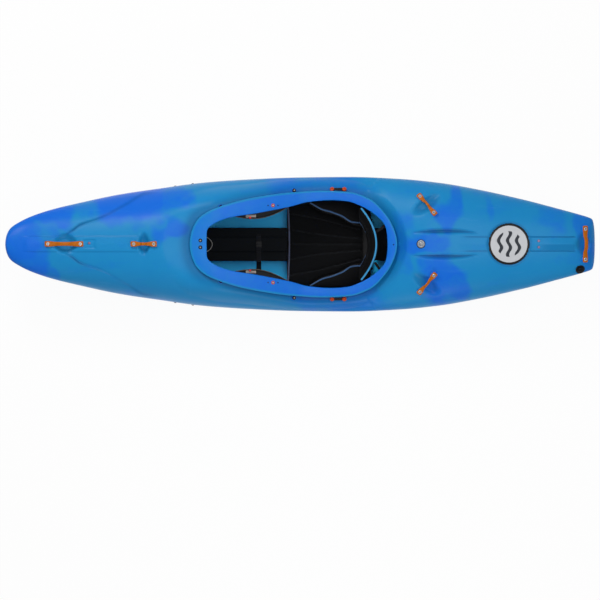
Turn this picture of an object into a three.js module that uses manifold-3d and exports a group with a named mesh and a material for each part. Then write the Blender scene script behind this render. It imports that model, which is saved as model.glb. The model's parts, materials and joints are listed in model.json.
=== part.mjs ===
// Whitewater kayak: a one-piece moulded shell with its cockpit rim, grab handles, drain and padded outfitting.
// Millimetres. X runs from bow to stern, Y to starboard, Z up. The origin is on the ground under the middle.

import * as THREE from "three";
import { mergeVertices } from "three/addons/utils/BufferGeometryUtils.js";
import Module from "manifold-3d";

const wasm = await Module();
wasm.setup();

// Fits
const gap = 0.3; // between pieces that touch
const overrun = 5; // how far a cutter passes a face
const weldDistance = 1e-4;
const probe = 4; // step for measuring a surface's slope

// Hull
const hullLength = 2750;
const hullBeam = 630;
const bowHeight = 429;
const wall = 5;
const bowTip = -hullLength / 2;
const sternTip = hullLength / 2;
const bowSolid = 42; // solid plastic at each tip
const sternSolid = 34;
// Half beam, as [share of the length from the bow, share of half the beam]
const planShares = [
  [0, 0], [0.0071, 0.215], [0.0241, 0.326], [0.0411, 0.4], [0.075, 0.504], [0.126, 0.615],
  [0.194, 0.741], [0.262, 0.83], [0.33, 0.911], [0.398, 0.956], [0.5, 0.993], [0.584, 1],
  [0.669, 0.97], [0.737, 0.911], [0.805, 0.807], [0.873, 0.674], [0.941, 0.519], [0.975, 0.437],
  [0.9886, 0.4], [0.9954, 0.37], [0.9988, 0.26], [1, 0],
];
// Heights, as [share of the length, share of the bow's height]
const keelShares = [
  [0, 0.942], [0.0032, 0.876], [0.0119, 0.779], [0.0334, 0.642], [0.0552, 0.5375], [0.0985, 0.378],
  [0.1418, 0.256], [0.185, 0.17], [0.2284, 0.107], [0.2716, 0.051], [0.315, 0.0142], [0.355, 0],
  [0.523, 0], [0.5856, 0.0347], [0.6523, 0.0665], [0.71, 0.117], [0.766, 0.187], [0.8455, 0.297],
  [0.918, 0.428], [0.9934, 0.556], [1, 0.627],
];
const gunwaleShares = [
  [0, 0.942], [0.0183, 0.911], [0.0832, 0.753], [0.1418, 0.613], [0.2068, 0.5235], [0.2934, 0.468],
  [0.3806, 0.445], [0.5165, 0.445], [0.6523, 0.485], [0.7433, 0.515], [0.834, 0.543], [0.902, 0.594],
  [0.9706, 0.632], [1, 0.627],
];
const deckShares = [
  [0, 0.942], [0.0032, 0.998], [0.0224, 1], [0.0683, 0.97], [0.1005, 0.958], [0.1531, 0.951],
  [0.2109, 0.956], [0.2822, 0.963], [0.3127, 0.945], [0.3806, 0.87], [0.4486, 0.78], [0.5504, 0.7],
  [0.6243, 0.72], [0.6523, 0.767], [0.684, 0.814], [0.716, 0.862], [0.766, 0.879], [0.8068, 0.87],
  [0.8729, 0.8275], [0.95, 0.786], [0.9888, 0.727], [0.9986, 0.66], [1, 0.627],
];
// Roundness of the hull's and the deck's section, and the bottom's flat part as a share of the half beam
const hullPowerShares = [[0, 2], [0.2, 2.5], [0.45, 3.2], [0.7, 2.8], [1, 2.3]];
const deckPowerShares = [[0, 2], [0.2, 2.1], [0.45, 2.5], [0.75, 2.3], [1, 2.4]];
const flatShares = [[0, 0.1], [0.2, 0.2], [0.36, 0.42], [0.52, 0.45], [0.75, 0.3], [1, 0.2]];

// Cockpit rim
const rimFront = -516;
const rimLength = 967;
const rimWidth = 498;
const openingFront = -437;
const openingLength = 843;
const openingWidth = 410;
const rimLip = 18; // how far the lip stands out from the coaming
const rimFlange = 7;
const rimHem = 11; // depth of the turned-down inner edge
const rimRound = 3;
const coamingWall = 6;
const troughWidth = 122; // how far ahead of the rim the deck has sunk to its foot
// The same beside and behind the rim, as [share of the rim's length, share of the width ahead]
const troughShares = [[0, 1], [0.12, 0.78], [0.3, 0.56], [0.6, 0.5], [0.85, 0.46], [1, 0.4]];
// Half widths, as [share of the rim's or opening's length, share of its half width]
const rimShares = [
  [0, 0], [0.0483, 0.497], [0.145, 0.698], [0.32, 0.876], [0.497, 0.97], [0.641, 1],
  [0.761, 0.979], [0.865, 0.854], [0.945, 0.559], [0.993, 0.188], [1, 0],
];
const openingShares = [
  [0, 0], [0.0008, 0.26], [0.0255, 0.415], [0.1357, 0.604], [0.273, 0.697], [0.457, 0.847], [0.567, 0.961],
  [0.687, 1], [0.778, 0.973], [0.852, 0.868], [0.944, 0.622], [0.99, 0.376], [1, 0],
];
// Height of the rim's top, and how far it stands above the deck at its foot
const rimHeightShares = [
  [0, 0.967], [0.1, 0.967], [0.193, 0.934], [0.29, 0.887], [0.386, 0.828], [0.483, 0.763],
  [0.563, 0.719], [0.65, 0.709], [0.787, 0.709], [0.87, 0.718], [0.942, 0.741], [1, 0.769],
];
const rimStandSide = 34;
const rimStandEnd = 24;

// Deck reliefs: each has its middle, half sizes and depth. Those near a tip are measured from it.
const bowScoop = { fromBow: 280, y: 0, halfLength: 92, halfWidth: 72, depth: 20 };
const frontRecess = { x: -729, y: 0, halfLength: 34, halfWidth: 62, depth: 17 };
const sternRecess = { fromStern: 53, y: 0, halfLength: 40, halfWidth: 62, depth: 17 };
const rearRecess = { x: 589, y: 188, halfLength: 88, halfWidth: 46, depth: 16, turn: 0.625 };
const numberDish = { fromStern: 409, y: 0, radius: 96, depth: 3 };
const noseStep = { depth: 7, soft: 14, end: -560, fade: 260 };
// The step's line from the scoop to the gunwale, as [share of the length, share of half the beam]
const noseStepShares = [[0.095, 0.08], [0.126, 0.29], [0.165, 0.41], [0.204, 0.57], [0.238, 0.75], [1, 0.9]];
const deckStrip = { halfWidth: 36, rise: 3, soft: 7, fromBow: 185, rear: -745 };
const rearGroove = { y: 61, halfWidth: 12, depth: 6, front: 516, rear: 815 };

// Grab handles, each by the places of its two bolts: from the bow, from the stern or from the middle
const handleBar = {
  thickness: 6.5, crown: 2, rise: 13, endRadius: 14.5, waist: 11.5, foot: 22, archShare: 1.5,
};
const handlePlaces = {
  bow_handle: { fromBow: [197, 347], across: [0, 0] },
  front_deck_handle: { fromMiddle: [-776, -683], across: [0, 0] },
  rear_handle_starboard: { fromMiddle: [559, 623], across: [217, 141] },
  rear_handle_port: { fromMiddle: [559, 623], across: [-217, -141] },
  stern_handle: { fromStern: [51, 51], across: [-71, 71] },
};
const boss = { radius: 15, rise: 6, depth: 10 };
const handleBolt = { headRadius: 8, headHeight: 4, shankRadius: 3, length: 14 };

// Bolts through the rim and the deck beside it
const rimBolt = { headRadius: 9, headHeight: 4, shankRadius: 3.5, length: 24 };
const frontBoltPlace = [-466, 16];
const thighBoltPlace = [-128, 180];
const coamingBoltPlaces = [[-373, 173], [-33, 250]];
const rearDeckBolt = { fromStern: 264, y: 14.5 };
const hipCap = {
  front: 148, rear: 205, y: 251, radius: 10, height: 7, crownRadius: 6.7,
  plate: 4, plateHalfWidth: 7, shankRadius: 4, length: 13,
};

// Badge and drain
const badge = { x: 561, y: 0, radius: 21, height: 5, crownRadius: 8, holeRadius: 2 };
const drain = {
  fromStern: 69, y: -119, outerRadius: 17, boreRadius: 11, height: 16, flangeRadius: 22, flange: 3,
};
const drainPlug = { capRadius: 13, cap: 6, gripHalf: 3, grip: 6, length: 12 };
const drainSeal = { radius: 14.5, thickness: 2 };

// Seat
const seat = {
  front: -63, rear: 330, halfWidth: 203, tray: 52, plate: 5, footHalfWidth: 105, footRear: 60,
  wing: 5, wingFront: 40, wingRear: 300, wingHeight: 96, lug: 6, lugHalfLength: 16, pivotRadius: 4,
};
const seatPad = { rear: 262, thickness: 26, crown: 9, channel: 6, channelHalf: 0.05, draw: 5, sideGap: 4 };
const channelShares = [0, 0.3, 0.7];
const hipPad = { front: 46, rear: 282, outer: 198, height: 152, draw: 6, crown: 4 };
// The hip pads' inner faces, as [share of the pad's length, share of the outer face's distance]
const hipPadShares = [[0, 0.985], [0.12, 0.86], [0.48, 0.74], [0.7, 0.62], [0.85, 0.53], [1, 0.51]];

// Backband, by its lower and upper edge
const band = {
  pivotX: 322, pivotZ: 206, lowZ: 196, highZ: 322, lowX: 318, highX: 352, lowHalf: 112, highHalf: 172,
  lowSag: 46, highSag: 74, drop: 18, pad: 20, crown: 6, shell: 5, edge: 4,
  ear: 6, earRadius: 12, earReach: 31, earHeight: 29,
};

// Pillars
const frontPillar = {
  front: -634, step: -452, halfWidth: 78, height: 92, core: 33, coreRise: 14, postHalf: 40, clear: 5,
};
const rearPillar = { front: 346, step: 418, rear: 1135, halfWidth: 76, height: 150, postHalf: 40, clear: 5 };

// Thigh braces
const brace = {
  front: -300, rear: -62, inner: 126, inward: 19, outerInset: 30, thickness: 5, drop: 0.7, sag: 10,
  pad: 14, padClear: 1.2, proud: 7,
};
const ratchet = {
  x: -232, halfLength: 24, halfWidth: 6, height: 9, lever: 4, leverLength: 37, pivot: 3,
  inset: 1, fork: 1.5, lift: 0.9,
};

// Footrest
const rail = { front: -770, rear: -470, inset: 26, thickness: 10, height: 26, z: 162 };
const railBoltX = [-586, -504];
const railBolt = { headRadius: 7, headHeight: 3.5, shankRadius: 3, bossRadius: 13 };
const footrest = {
  x: -700, thickness: 6, top: 320, bottom: 92, railGap: 5, shoulder: 262, waist: 150, footShare: 0.526,
  armLength: 105, armHeight: 34, armThickness: 8, pad: 16, inset: 14,
};

// Strap and cord on the pillar
const strap = { x: -196, halfWidth: 11, thickness: 2.4, drop: 46, buckle: 9, buckleHalf: 15 };
const pillarCordDiameter = 4;
const pillarCordSides = 8;
const pillarCordSteps = 28;

// Mesh counts
const tipStations = 6;
const tipShare = 0.06;
const outerStations = 44;
const innerStations = 32;
const outerSide = 6;
const outerDeck = 9;
const innerSide = 4;
const innerDeck = 6;
const rimStations = 60;
const roundSides = 14;
const smallSides = 8;
const handleGrid = [12, 2];
const braceGrid = [10, 5];
const padGrid = [14, 6];
const seatPadGrid = [12, 20];
const hollowShare = 1 / 8; // how much of a pad's edge its crown leaves out

// Finishes
function finish(color, roughness, metalness = 0) {
  return new THREE.MeshStandardMaterial({ color, roughness, metalness });
}

const plastic = finish(0x2876cf, 0.35);
const handleOrange = finish(0xc8700f, 0.4);
const blackPlastic = finish(0x16181b, 0.45);
const steel = finish(0x9a9ca0, 0.35, 1);
const silver = finish(0x82868e, 0.3, 0.8);
const capOrange = finish(0xd8491c, 0.45);
const foam = finish(0x14171a, 0.9);
const fabric = finish(0x101214, 0.95);
const webbing = finish(0x15161a, 0.85);
const cordGrey = finish(0x8d8a83, 0.8);
const aluminium = finish(0xa9adb2, 0.4, 1);
const ratchetGrey = finish(0xb9bcc0, 0.45);

// Curves and solids

const clamp = (value, low, high) => Math.min(Math.max(value, low), high);
const mix = (a, b, share) => a + (b - a) * share;
const quarterTurn = Math.PI / 2;

// Two distances from the middle, as a low and a high Y on one side.
const acrossFrom = (side, a, b) => [side * a, side * b].sort((p, q) => p - q);

function smoothStep(value) {
  const t = clamp(value, 0, 1);
  return t * t * (3 - 2 * t);
}

// A share along an outline as an angle share, so that a curve over it closes round at both ends.
const roundParam = (share) => Math.acos(1 - 2 * clamp(share, 0, 1)) / Math.PI;

// A monotone curve through [share, value] points.
function curveThrough(table) {
  const at = table.map(([share]) => roundParam(share));
  const value = table.map((row) => row[1]);
  const rise = at.slice(1).map((t, i) => (value[i + 1] - value[i]) / (t - at[i]));
  const slope = value.map((_, i) => {
    if (i === 0) return rise[0];
    if (i === rise.length) return rise[i - 1];
    const [a, b] = [rise[i - 1], rise[i]];
    return a * b <= 0 ? 0 : (2 * a * b) / (a + b);
  });
  return (share) => {
    const t = roundParam(share);
    let i = 0;
    while (i < at.length - 2 && t > at[i + 1]) i++;
    const span = at[i + 1] - at[i];
    const u = (t - at[i]) / span;
    const [u2, u3] = [u * u, u * u * u];
    const ends = (2 * u3 - 3 * u2 + 1) * value[i] + (3 * u2 - 2 * u3) * value[i + 1];
    return ends + span * ((u3 - 2 * u2 + u) * slope[i] + (u3 - u2) * slope[i + 1]);
  };
}

function meshFrom(points, faces) {
  const geometry = new THREE.BufferGeometry();
  const places = points.flatMap((p) => [p.x, p.y, p.z]);
  geometry.setAttribute("position", new THREE.Float32BufferAttribute(places, 3));
  geometry.setIndex(faces);
  return geometry;
}

function addQuad(faces, a, b, c, d) {
  faces.push(a, b, c, a, c, d);
}

const middleOf = (ring) => ring.reduce((sum, p) => sum.add(p), new THREE.Vector3()).divideScalar(ring.length);

// A closed skin over rings of points. Its ends run to a point each, or the last ring joins the first.
function loft(rings, ends = [middleOf(rings[0]), middleOf(rings[rings.length - 1])]) {
  const count = rings[0].length;
  const points = [...rings.flat(), ...ends];
  const faces = [];
  const last = rings.length - 1;
  for (let i = 0; i < (ends.length ? last : rings.length); i++) {
    const next = (i + 1) % rings.length;
    for (let j = 0; j < count; j++) {
      const k = (j + 1) % count;
      addQuad(faces, i * count + j, i * count + k, next * count + k, next * count + j);
    }
  }
  if (ends.length) {
    for (let j = 0; j < count; j++) {
      const k = (j + 1) % count;
      faces.push(points.length - 2, k, j);
      faces.push(points.length - 1, last * count + j, last * count + k);
    }
  }
  return solidOf(meshFrom(points, faces));
}

// A closed sheet between two surfaces over the same grid.
function slab([nu, nv], face, back) {
  const points = [];
  for (const side of [face, back])
    for (let i = 0; i <= nu; i++)
      for (let j = 0; j <= nv; j++) points.push(new THREE.Vector3(...side(i / nu, j / nv)));
  const at = (side, i, j) => (side * (nu + 1) + i) * (nv + 1) + j;
  const faces = [];
  for (let i = 0; i < nu; i++) {
    for (let j = 0; j < nv; j++) {
      addQuad(faces, at(0, i, j), at(0, i + 1, j), at(0, i + 1, j + 1), at(0, i, j + 1));
      addQuad(faces, at(1, i, j), at(1, i, j + 1), at(1, i + 1, j + 1), at(1, i + 1, j));
    }
    addQuad(faces, at(0, i + 1, 0), at(0, i, 0), at(1, i, 0), at(1, i + 1, 0));
    addQuad(faces, at(0, i, nv), at(0, i + 1, nv), at(1, i + 1, nv), at(1, i, nv));
  }
  for (let j = 0; j < nv; j++) {
    addQuad(faces, at(0, 0, j), at(0, 0, j + 1), at(1, 0, j + 1), at(1, 0, j));
    addQuad(faces, at(0, nu, j + 1), at(0, nu, j), at(1, nu, j), at(1, nu, j + 1));
  }
  return solidOf(meshFrom(points, faces));
}

// A geometry as a solid with its faces outwards.
function solidOf(geometry) {
  const bare = geometry.clone();
  bare.deleteAttribute("normal");
  bare.deleteAttribute("uv");
  const merged = mergeVertices(bare, weldDistance);
  const triVerts = new Uint32Array(merged.index.array);
  const vertProperties = merged.attributes.position.array;
  const solid = new wasm.Manifold(new wasm.Mesh({ numProp: 3, vertProperties, triVerts }));
  if (solid.volume() > 0) return solid;
  return new wasm.Manifold(new wasm.Mesh({ numProp: 3, vertProperties, triVerts: triVerts.reverse() }));
}

function geometryOf(solid) {
  const mesh = solid.getMesh();
  const geometry = new THREE.BufferGeometry();
  geometry.setAttribute("position", new THREE.BufferAttribute(new Float32Array(mesh.vertProperties), 3));
  geometry.setIndex(new THREE.BufferAttribute(new Uint32Array(mesh.triVerts), 1));
  const faceted = geometry.toNonIndexed();
  faceted.computeVertexNormals();
  return faceted;
}

function box(low, high) {
  const size = high.map((value, axis) => value - low[axis]);
  const geometry = new THREE.BoxGeometry(...size);
  return solidOf(geometry.translate(...low.map((value, axis) => value + size[axis] / 2)));
}

// A round bar along Z from one height to another.
function post(radius, low, high, sides = roundSides, x = 0, y = 0) {
  const geometry = new THREE.CylinderGeometry(radius, radius, high - low, sides);
  return solidOf(geometry.rotateX(quarterTurn).translate(x, y, (low + high) / 2));
}

// A solid of revolution about Z from a closed [radius, height] outline.
function turned(outline, sides = roundSides) {
  const geometry = new THREE.LatheGeometry(outline.map(([r, z]) => new THREE.Vector2(r, z)), sides);
  return solidOf(geometry.rotateX(quarterTurn));
}

// An [x, y] outline raised along Z.
function plate(outline, low, high) {
  const shape = new THREE.Shape(outline.map(([x, y]) => new THREE.Vector2(x, y)));
  const geometry = new THREE.ExtrudeGeometry(shape, { depth: high - low, bevelEnabled: false });
  return solidOf(geometry.translate(0, 0, low));
}

// An [x, z] outline drawn out along Y.
function wallAcross(outline, low, high) {
  const shape = new THREE.Shape(outline.map(([x, z]) => new THREE.Vector2(x, z)));
  const geometry = new THREE.ExtrudeGeometry(shape, { depth: high - low, bevelEnabled: false });
  return solidOf(geometry.rotateX(quarterTurn).translate(0, high, 0));
}

function placed(solid, matrix) {
  return solid.transform(matrix.elements);
}

// Hull surface

const halfBeamAt = curveThrough(planShares);
const keelAt = curveThrough(keelShares);
const gunwaleAt = curveThrough(gunwaleShares);
const deckAt = curveThrough(deckShares);
const hullPowerAt = curveThrough(hullPowerShares);
const deckPowerAt = curveThrough(deckPowerShares);
const flatAt = curveThrough(flatShares);
const noseStepAt = curveThrough(noseStepShares);
const rimAt = curveThrough(rimShares);
const openingAt = curveThrough(openingShares);
const troughAt = curveThrough(troughShares);
const rimHeightAt = curveThrough(rimHeightShares);

const shareAlong = (x) => clamp((x - bowTip) / hullLength, 0, 1);
const halfBeam = (x) => (halfBeamAt(shareAlong(x)) * hullBeam) / 2;
const keel = (x) => keelAt(shareAlong(x)) * bowHeight;

// The rim's lip and the opening's edge at an angle share round from the front, on the starboard side.
function rimEdge(angleShare) {
  const along = (1 - Math.cos(Math.PI * angleShare)) / 2;
  return {
    lip: new THREE.Vector2(rimFront + along * rimLength, (rimAt(along) * rimWidth) / 2),
    edge: new THREE.Vector2(openingFront + along * openingLength, (openingAt(along) * openingWidth) / 2),
  };
}

const rimTop = (x) => rimHeightAt((x - rimFront) / rimLength) * bowHeight;

// How far along the hull something lies.
function alongHull({ fromBow, fromStern, x }) {
  if (fromBow !== undefined) return bowTip + fromBow;
  return fromStern === undefined ? x : sternTip - fromStern;
}

// How far a place on the deck lies outside the rim's lip, seen from above.
const lipLine = Array.from({ length: rimStations + 1 }, (_, i) => rimEdge(i / rimStations).lip);

function distanceToLip(x, y) {
  const place = new THREE.Vector2(x, Math.abs(y));
  const along = (x - rimFront) / rimLength;
  if (along > 0 && along < 1 && place.y < (rimAt(along) * rimWidth) / 2) return 0;
  let nearest = Infinity;
  for (let i = 0; i < rimStations; i++) {
    const [a, b] = [lipLine[i], lipLine[i + 1]];
    const side = b.clone().sub(a);
    const t = clamp(place.clone().sub(a).dot(side) / side.lengthSq(), 0, 1);
    nearest = Math.min(nearest, place.distanceTo(a.clone().addScaledVector(side, t)));
  }
  return nearest;
}

// A smooth bowl, 1 in the middle and 0 at its edge.
function bowl(relief, x, y) {
  const [c, s] = [Math.cos(relief.turn ?? 0), Math.sin(relief.turn ?? 0)];
  const [dx, dy] = [x - alongHull(relief), y - relief.y];
  const along = (dx * c + dy * s) / relief.halfLength;
  const across = (dy * c - dx * s) / relief.halfWidth;
  const outward = 1 - along * along - across * across;
  return outward > 0 ? relief.depth * smoothStep(outward) : 0;
}

// A long band, 1 between its ends and inside its half width.
function bandShare(x, y, front, rear, halfWidth, soft) {
  const ends = smoothStep((x - front) / soft) * smoothStep((rear - x) / soft);
  return ends * smoothStep((halfWidth - Math.abs(y)) / soft);
}

// What is pressed into the deck, or raised on it.
function relief(x, y) {
  const side = Math.abs(y);
  let z = -bowl(rearRecess, x, side);
  for (const hollow of [bowScoop, frontRecess, sternRecess]) z -= bowl(hollow, x, y);
  const dish = Math.hypot(x - alongHull(numberDish), y - numberDish.y) / numberDish.radius;
  z -= numberDish.depth * smoothStep((1 - dish) * numberDish.radius / numberDish.depth / 2);
  const stepLine = (noseStepAt(shareAlong(x)) * hullBeam) / 2;
  const stepStart = smoothStep((x - alongHull(bowScoop)) / bowScoop.halfLength);
  const stepFade = stepStart * smoothStep((noseStep.end - x) / noseStep.fade);
  z -= noseStep.depth * stepFade * smoothStep((stepLine - side) / noseStep.soft);
  const stripFront = alongHull(deckStrip);
  z += deckStrip.rise * bandShare(x, y, stripFront, deckStrip.rear, deckStrip.halfWidth, deckStrip.soft);
  const { halfWidth, front, rear } = rearGroove;
  const groove = bandShare(x, side - rearGroove.y, front, rear, halfWidth, halfWidth);
  return z - rearGroove.depth * groove;
}

function plainDeck(x, y, inset = 0) {
  const s = shareAlong(x);
  const across = Math.min(Math.abs(y) / (halfBeam(x) - inset), 1);
  const power = deckPowerAt(s);
  return mix(gunwaleAt(s) * bowHeight, deckAt(s) * bowHeight - inset, (1 - across ** power) ** (1 / power));
}

// How far the reliefs and the rim's trough move the deck from its plain curve.
function deckShift(x, y, base) {
  const fade = smoothStep((halfBeam(x) - Math.abs(y)) / boss.radius);
  const pressed = base + relief(x, y) * fade;
  const at = clamp(x, rimFront, rimFront + rimLength);
  const along = (at - rimFront) / rimLength;
  const away = Math.min(distanceToLip(x, y) / (troughWidth * troughAt(along)), 1);
  const near = mix(Math.cos(away * quarterTurn), 1 - smoothStep(away), 1 / 3);
  const beside = Math.sin(Math.PI * along);
  const foot = rimTop(at) - mix(rimStandEnd, rimStandSide, beside);
  return mix(pressed, foot, near * fade) - base;
}

function deckHeight(x, y) {
  const base = plainDeck(x, y);
  return base + deckShift(x, y, base);
}

// The inner skin keeps clear of the deepest relief within reach of its own coarser grid.
function innerDeckHeight(x, y, inset) {
  const reach = innerStep / 3;
  const steps = [-reach, 0, reach];
  const shifts = steps.flatMap((dx) =>
    steps.map((dy) => {
      const side = clamp(y + dy / 2, -halfBeam(x + dx), halfBeam(x + dx));
      return deckShift(x + dx, side, plainDeck(x + dx, side));
    }),
  );
  return plainDeck(x, y, inset) + Math.min(...shifts);
}

// One cross-section, from the keel up the starboard side, over the deck and down the port side.
function section(x, inset, sideCount, deckCount, deckZ) {
  const s = shareAlong(x);
  const [low, middle, half] = [keel(x) + inset, gunwaleAt(s) * bowHeight, halfBeam(x) - inset];
  const flat = flatAt(s) * half;
  const power = 2 / hullPowerAt(s);
  const starboard = [];
  for (let i = 0; i <= sideCount; i++) {
    const angle = (i / sideCount) * quarterTurn;
    const out = Math.sin(angle) ** power;
    const up = 1 - Math.cos(angle) ** power;
    starboard.push([mix(flat, half, out), mix(low, middle, up)]);
  }
  for (let i = 1; i < deckCount; i++) {
    const y = half * Math.cos((i / deckCount) * quarterTurn) ** (2 / deckPowerAt(s));
    starboard.push([y, deckZ(x, y)]);
  }
  const top = [[0, deckZ(x, 0)]];
  const port = starboard.map(([y, z]) => [-y, z]).reverse();
  return [...starboard, ...top, ...port].map(([y, z]) => new THREE.Vector3(x, y, z));
}

// Places along the hull, closer together towards its tips.
function stations(count, front, rear) {
  const tip = tipShare * (rear - front);
  const list = [];
  for (let i = 1; i < tipStations; i++) list.push(tip * (1 - Math.cos((i / tipStations) * quarterTurn)));
  const fromStern = list.map((d) => rear - d).reverse();
  const between = Array.from({ length: count + 1 }, (_, i) => mix(front + tip, rear - tip, i / count));
  return [...list.map((d) => front + d), ...between, ...fromStern];
}

const innerFront = bowTip + bowSolid;
const innerRear = sternTip - sternSolid;
const innerStep = (innerRear - innerFront) / innerStations;
const innerLine = Array.from({ length: innerStations + 1 }, (_, i) => innerFront + i * innerStep);

// The floor inside the hull, which is level across its flat part.
function floorAt(x) {
  const i = clamp(Math.floor((x - innerFront) / innerStep), 0, innerStations - 1);
  const [a, b] = [innerLine[i], innerLine[i + 1]];
  return mix(keel(a), keel(b), (x - a) / (b - a)) + wall;
}

function outerSkin() {
  const tips = [bowTip, sternTip];
  const rings = stations(outerStations, ...tips).map((x) => section(x, 0, outerSide, outerDeck, deckHeight));
  return loft(rings, tips.map((x) => new THREE.Vector3(x, 0, gunwaleAt(shareAlong(x)) * bowHeight)));
}

function innerSkin() {
  return loft(
    innerLine.map((x) => section(x, wall, innerSide, innerDeck, (at, y) => innerDeckHeight(at, y, wall))),
  );
}

// Rim

// A place across the rim's band, given how far it lies in from the lip.
function acrossRim({ lip, edge }, inward) {
  return lip.clone().lerp(edge, inward / lip.distanceTo(edge));
}

function rimSection(angleShare, side) {
  const ends = rimEdge(angleShare);
  const width = ends.lip.distanceTo(ends.edge);
  const wallOut = acrossRim(ends, rimLip);
  const foot = deckHeight(wallOut.x, wallOut.y) - wall;
  const outline = [
    [width, -rimHem], [width, -rimRound], [width - rimRound, 0],
    [rimRound, 0], [0, -rimRound], [0, -rimFlange],
    [rimLip, -rimFlange], [rimLip, null], [rimLip + coamingWall, null], [rimLip + coamingWall, -rimFlange],
    [width - coamingWall, -rimFlange], [width - coamingWall, -rimHem],
  ];
  return outline.map(([inward, drop]) => {
    const at = acrossRim(ends, inward);
    return new THREE.Vector3(at.x, side * at.y, drop === null ? foot : rimTop(at.x) + drop);
  });
}

// Angle shares round the whole rim: up the starboard side and back down the port side.
function roundRim(make) {
  return Array.from({ length: rimStations }, (_, i) => {
    const turn = (2 * i) / rimStations;
    return turn <= 1 ? make(turn, 1) : make(2 - turn, -1);
  });
}

function rimSolid() {
  return loft(roundRim(rimSection), []);
}

function cockpitCut() {
  const outline = roundRim((share, side) => {
    const at = acrossRim(rimEdge(share), rimLip + coamingWall / 2);
    return [at.x, side * at.y];
  });
  const low = gunwaleAt(1 / 2) * bowHeight + wall;
  return plate(outline, low, bowHeight + overrun);
}

// Handles

// The upward direction square to a height field.
function normalOf(height, x, y) {
  const along = (height(x + probe, y) - height(x - probe, y)) / (2 * probe);
  const across = (height(x, y + probe) - height(x, y - probe)) / (2 * probe);
  return new THREE.Vector3(-along, -across, 1).normalize();
}

// A frame with X from one place to another on a surface, its origin midway and lifted off the surface.
function frameBetween(front, rear, height = deckHeight, lift = boss.rise, slopeOf = plainDeck) {
  const ends = [front, rear].map(([x, y]) => new THREE.Vector3(x, y, height(x, y)));
  const middle = ends[0].clone().add(ends[1]).divideScalar(2);
  const along = ends[1].clone().sub(ends[0]).normalize();
  const across = normalOf(slopeOf, middle.x, middle.y).cross(along).normalize();
  const up = along.clone().cross(across);
  const matrix = new THREE.Matrix4().makeBasis(along, across, up);
  return { matrix: matrix.setPosition(middle.addScaledVector(up, lift)), span: ends[0].distanceTo(ends[1]) };
}

function handleSolid(span) {
  const { thickness, crown, rise, endRadius, waist, foot, archShare } = handleBar;
  const half = span / 2 + endRadius;
  const free = span / 2 + endRadius - 2 * foot;
  const at = (u, v, lift) => {
    const x = -half * Math.cos(Math.PI * u);
    const fromEnd = half - Math.abs(x);
    const round = Math.sqrt(1 - (1 - clamp(fromEnd / endRadius, weldDistance, 1)) ** 2);
    const swell = smoothStep((2 * Math.abs(x)) / free - 1);
    const width = mix(waist, endRadius, swell) * Math.max(round, 1 / 4);
    const arch = Math.abs(x) < free ? rise * smoothStep((1 - Math.abs(x) / free) * archShare) : 0;
    const bulge = lift ? crown * (1 - (2 * v - 1) ** 2) : 0;
    return [x, (2 * v - 1) * width, gap + arch + (lift ? thickness + bulge : 0)];
  };
  const bar = slab(handleGrid, (u, v) => at(u, v, true), (u, v) => at(u, v, false));
  const hole = handleBolt.shankRadius + gap;
  const top = rise + thickness + overrun;
  return [-1, 1].reduce(
    (solid, side) => solid.subtract(post(hole, -overrun, top, smallSides, (side * span) / 2)),
    bar,
  );
}

// A button-head bolt with the underside of its head at zero.
function boltSolid({ headRadius, headHeight, shankRadius, length }) {
  const shank = [[0, -length], [shankRadius, -length], [shankRadius, 0]];
  const head = [[headRadius, 0], [headRadius, headHeight / 3], [0, headHeight]];
  return turned([...shank, ...head], smallSides);
}

// The places of a handle's two bolts.
function handleEnds({ fromBow, fromStern, fromMiddle, across }) {
  const along = fromMiddle ?? fromBow?.map((x) => bowTip + x) ?? fromStern.map((x) => sternTip - x);
  return along.map((x, i) => [x, across[i]]);
}

function handleBosses(place) {
  const { matrix, span } = frameBetween(...handleEnds(place));
  return [-1, 1].map((side) => {
    const x = (side * span) / 2;
    const base = -boss.rise - boss.depth;
    const hole = post(handleBolt.shankRadius + gap, gap - handleBolt.length, overrun, smallSides, x);
    return { add: placed(post(boss.radius, base, 0, roundSides, x), matrix), cut: placed(hole, matrix) };
  });
}

// Drain and badge

// A frame on the deck with Z square to it and X towards the stern.
function frameOn(x, y) {
  const up = normalOf(deckHeight, x, y);
  const across = up.clone().cross(new THREE.Vector3(1, 0, 0)).normalize();
  const along = across.clone().cross(up);
  return new THREE.Matrix4().makeBasis(along, across, up).setPosition(x, y, deckHeight(x, y));
}

function drainPocket() {
  const { outerRadius, flangeRadius, flange, height } = drain;
  return {
    add: post(flangeRadius, -height, -flange, roundSides),
    cut: post(flangeRadius + gap, -flange, height).add(post(outerRadius + gap, -height - overrun, 0)),
  };
}

function drainHousing() {
  const { outerRadius, flangeRadius, flange, height, boreRadius } = drain;
  const foot = gap - flange;
  return turned([
    [boreRadius, -height], [outerRadius, -height], [outerRadius, foot], [flangeRadius, foot],
    [flangeRadius, gap], [boreRadius, gap], [boreRadius, -height],
  ]);
}

const sealFoot = 2 * gap;
const plugFoot = sealFoot + drainSeal.thickness + gap;

function drainSealRing() {
  const inner = drain.boreRadius;
  const { radius, thickness } = drainSeal;
  const top = sealFoot + thickness;
  return turned([[inner, sealFoot], [radius, sealFoot], [radius, top], [inner, top], [inner, sealFoot]]);
}

function drainPlugSolid() {
  const { capRadius, cap, gripHalf, grip, length } = drainPlug;
  const top = plugFoot + cap;
  const stem = post(drain.boreRadius - gap, -length, plugFoot + gap);
  const reach = capRadius - gripHalf;
  const bar = box([-reach, -gripHalf, top - gap], [reach, gripHalf, top + grip]);
  return post(capRadius, plugFoot, top).add(stem).add(bar);
}

function badgePocket() {
  return post(badge.radius + gap, -badge.height / 2, badge.height + overrun);
}

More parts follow.
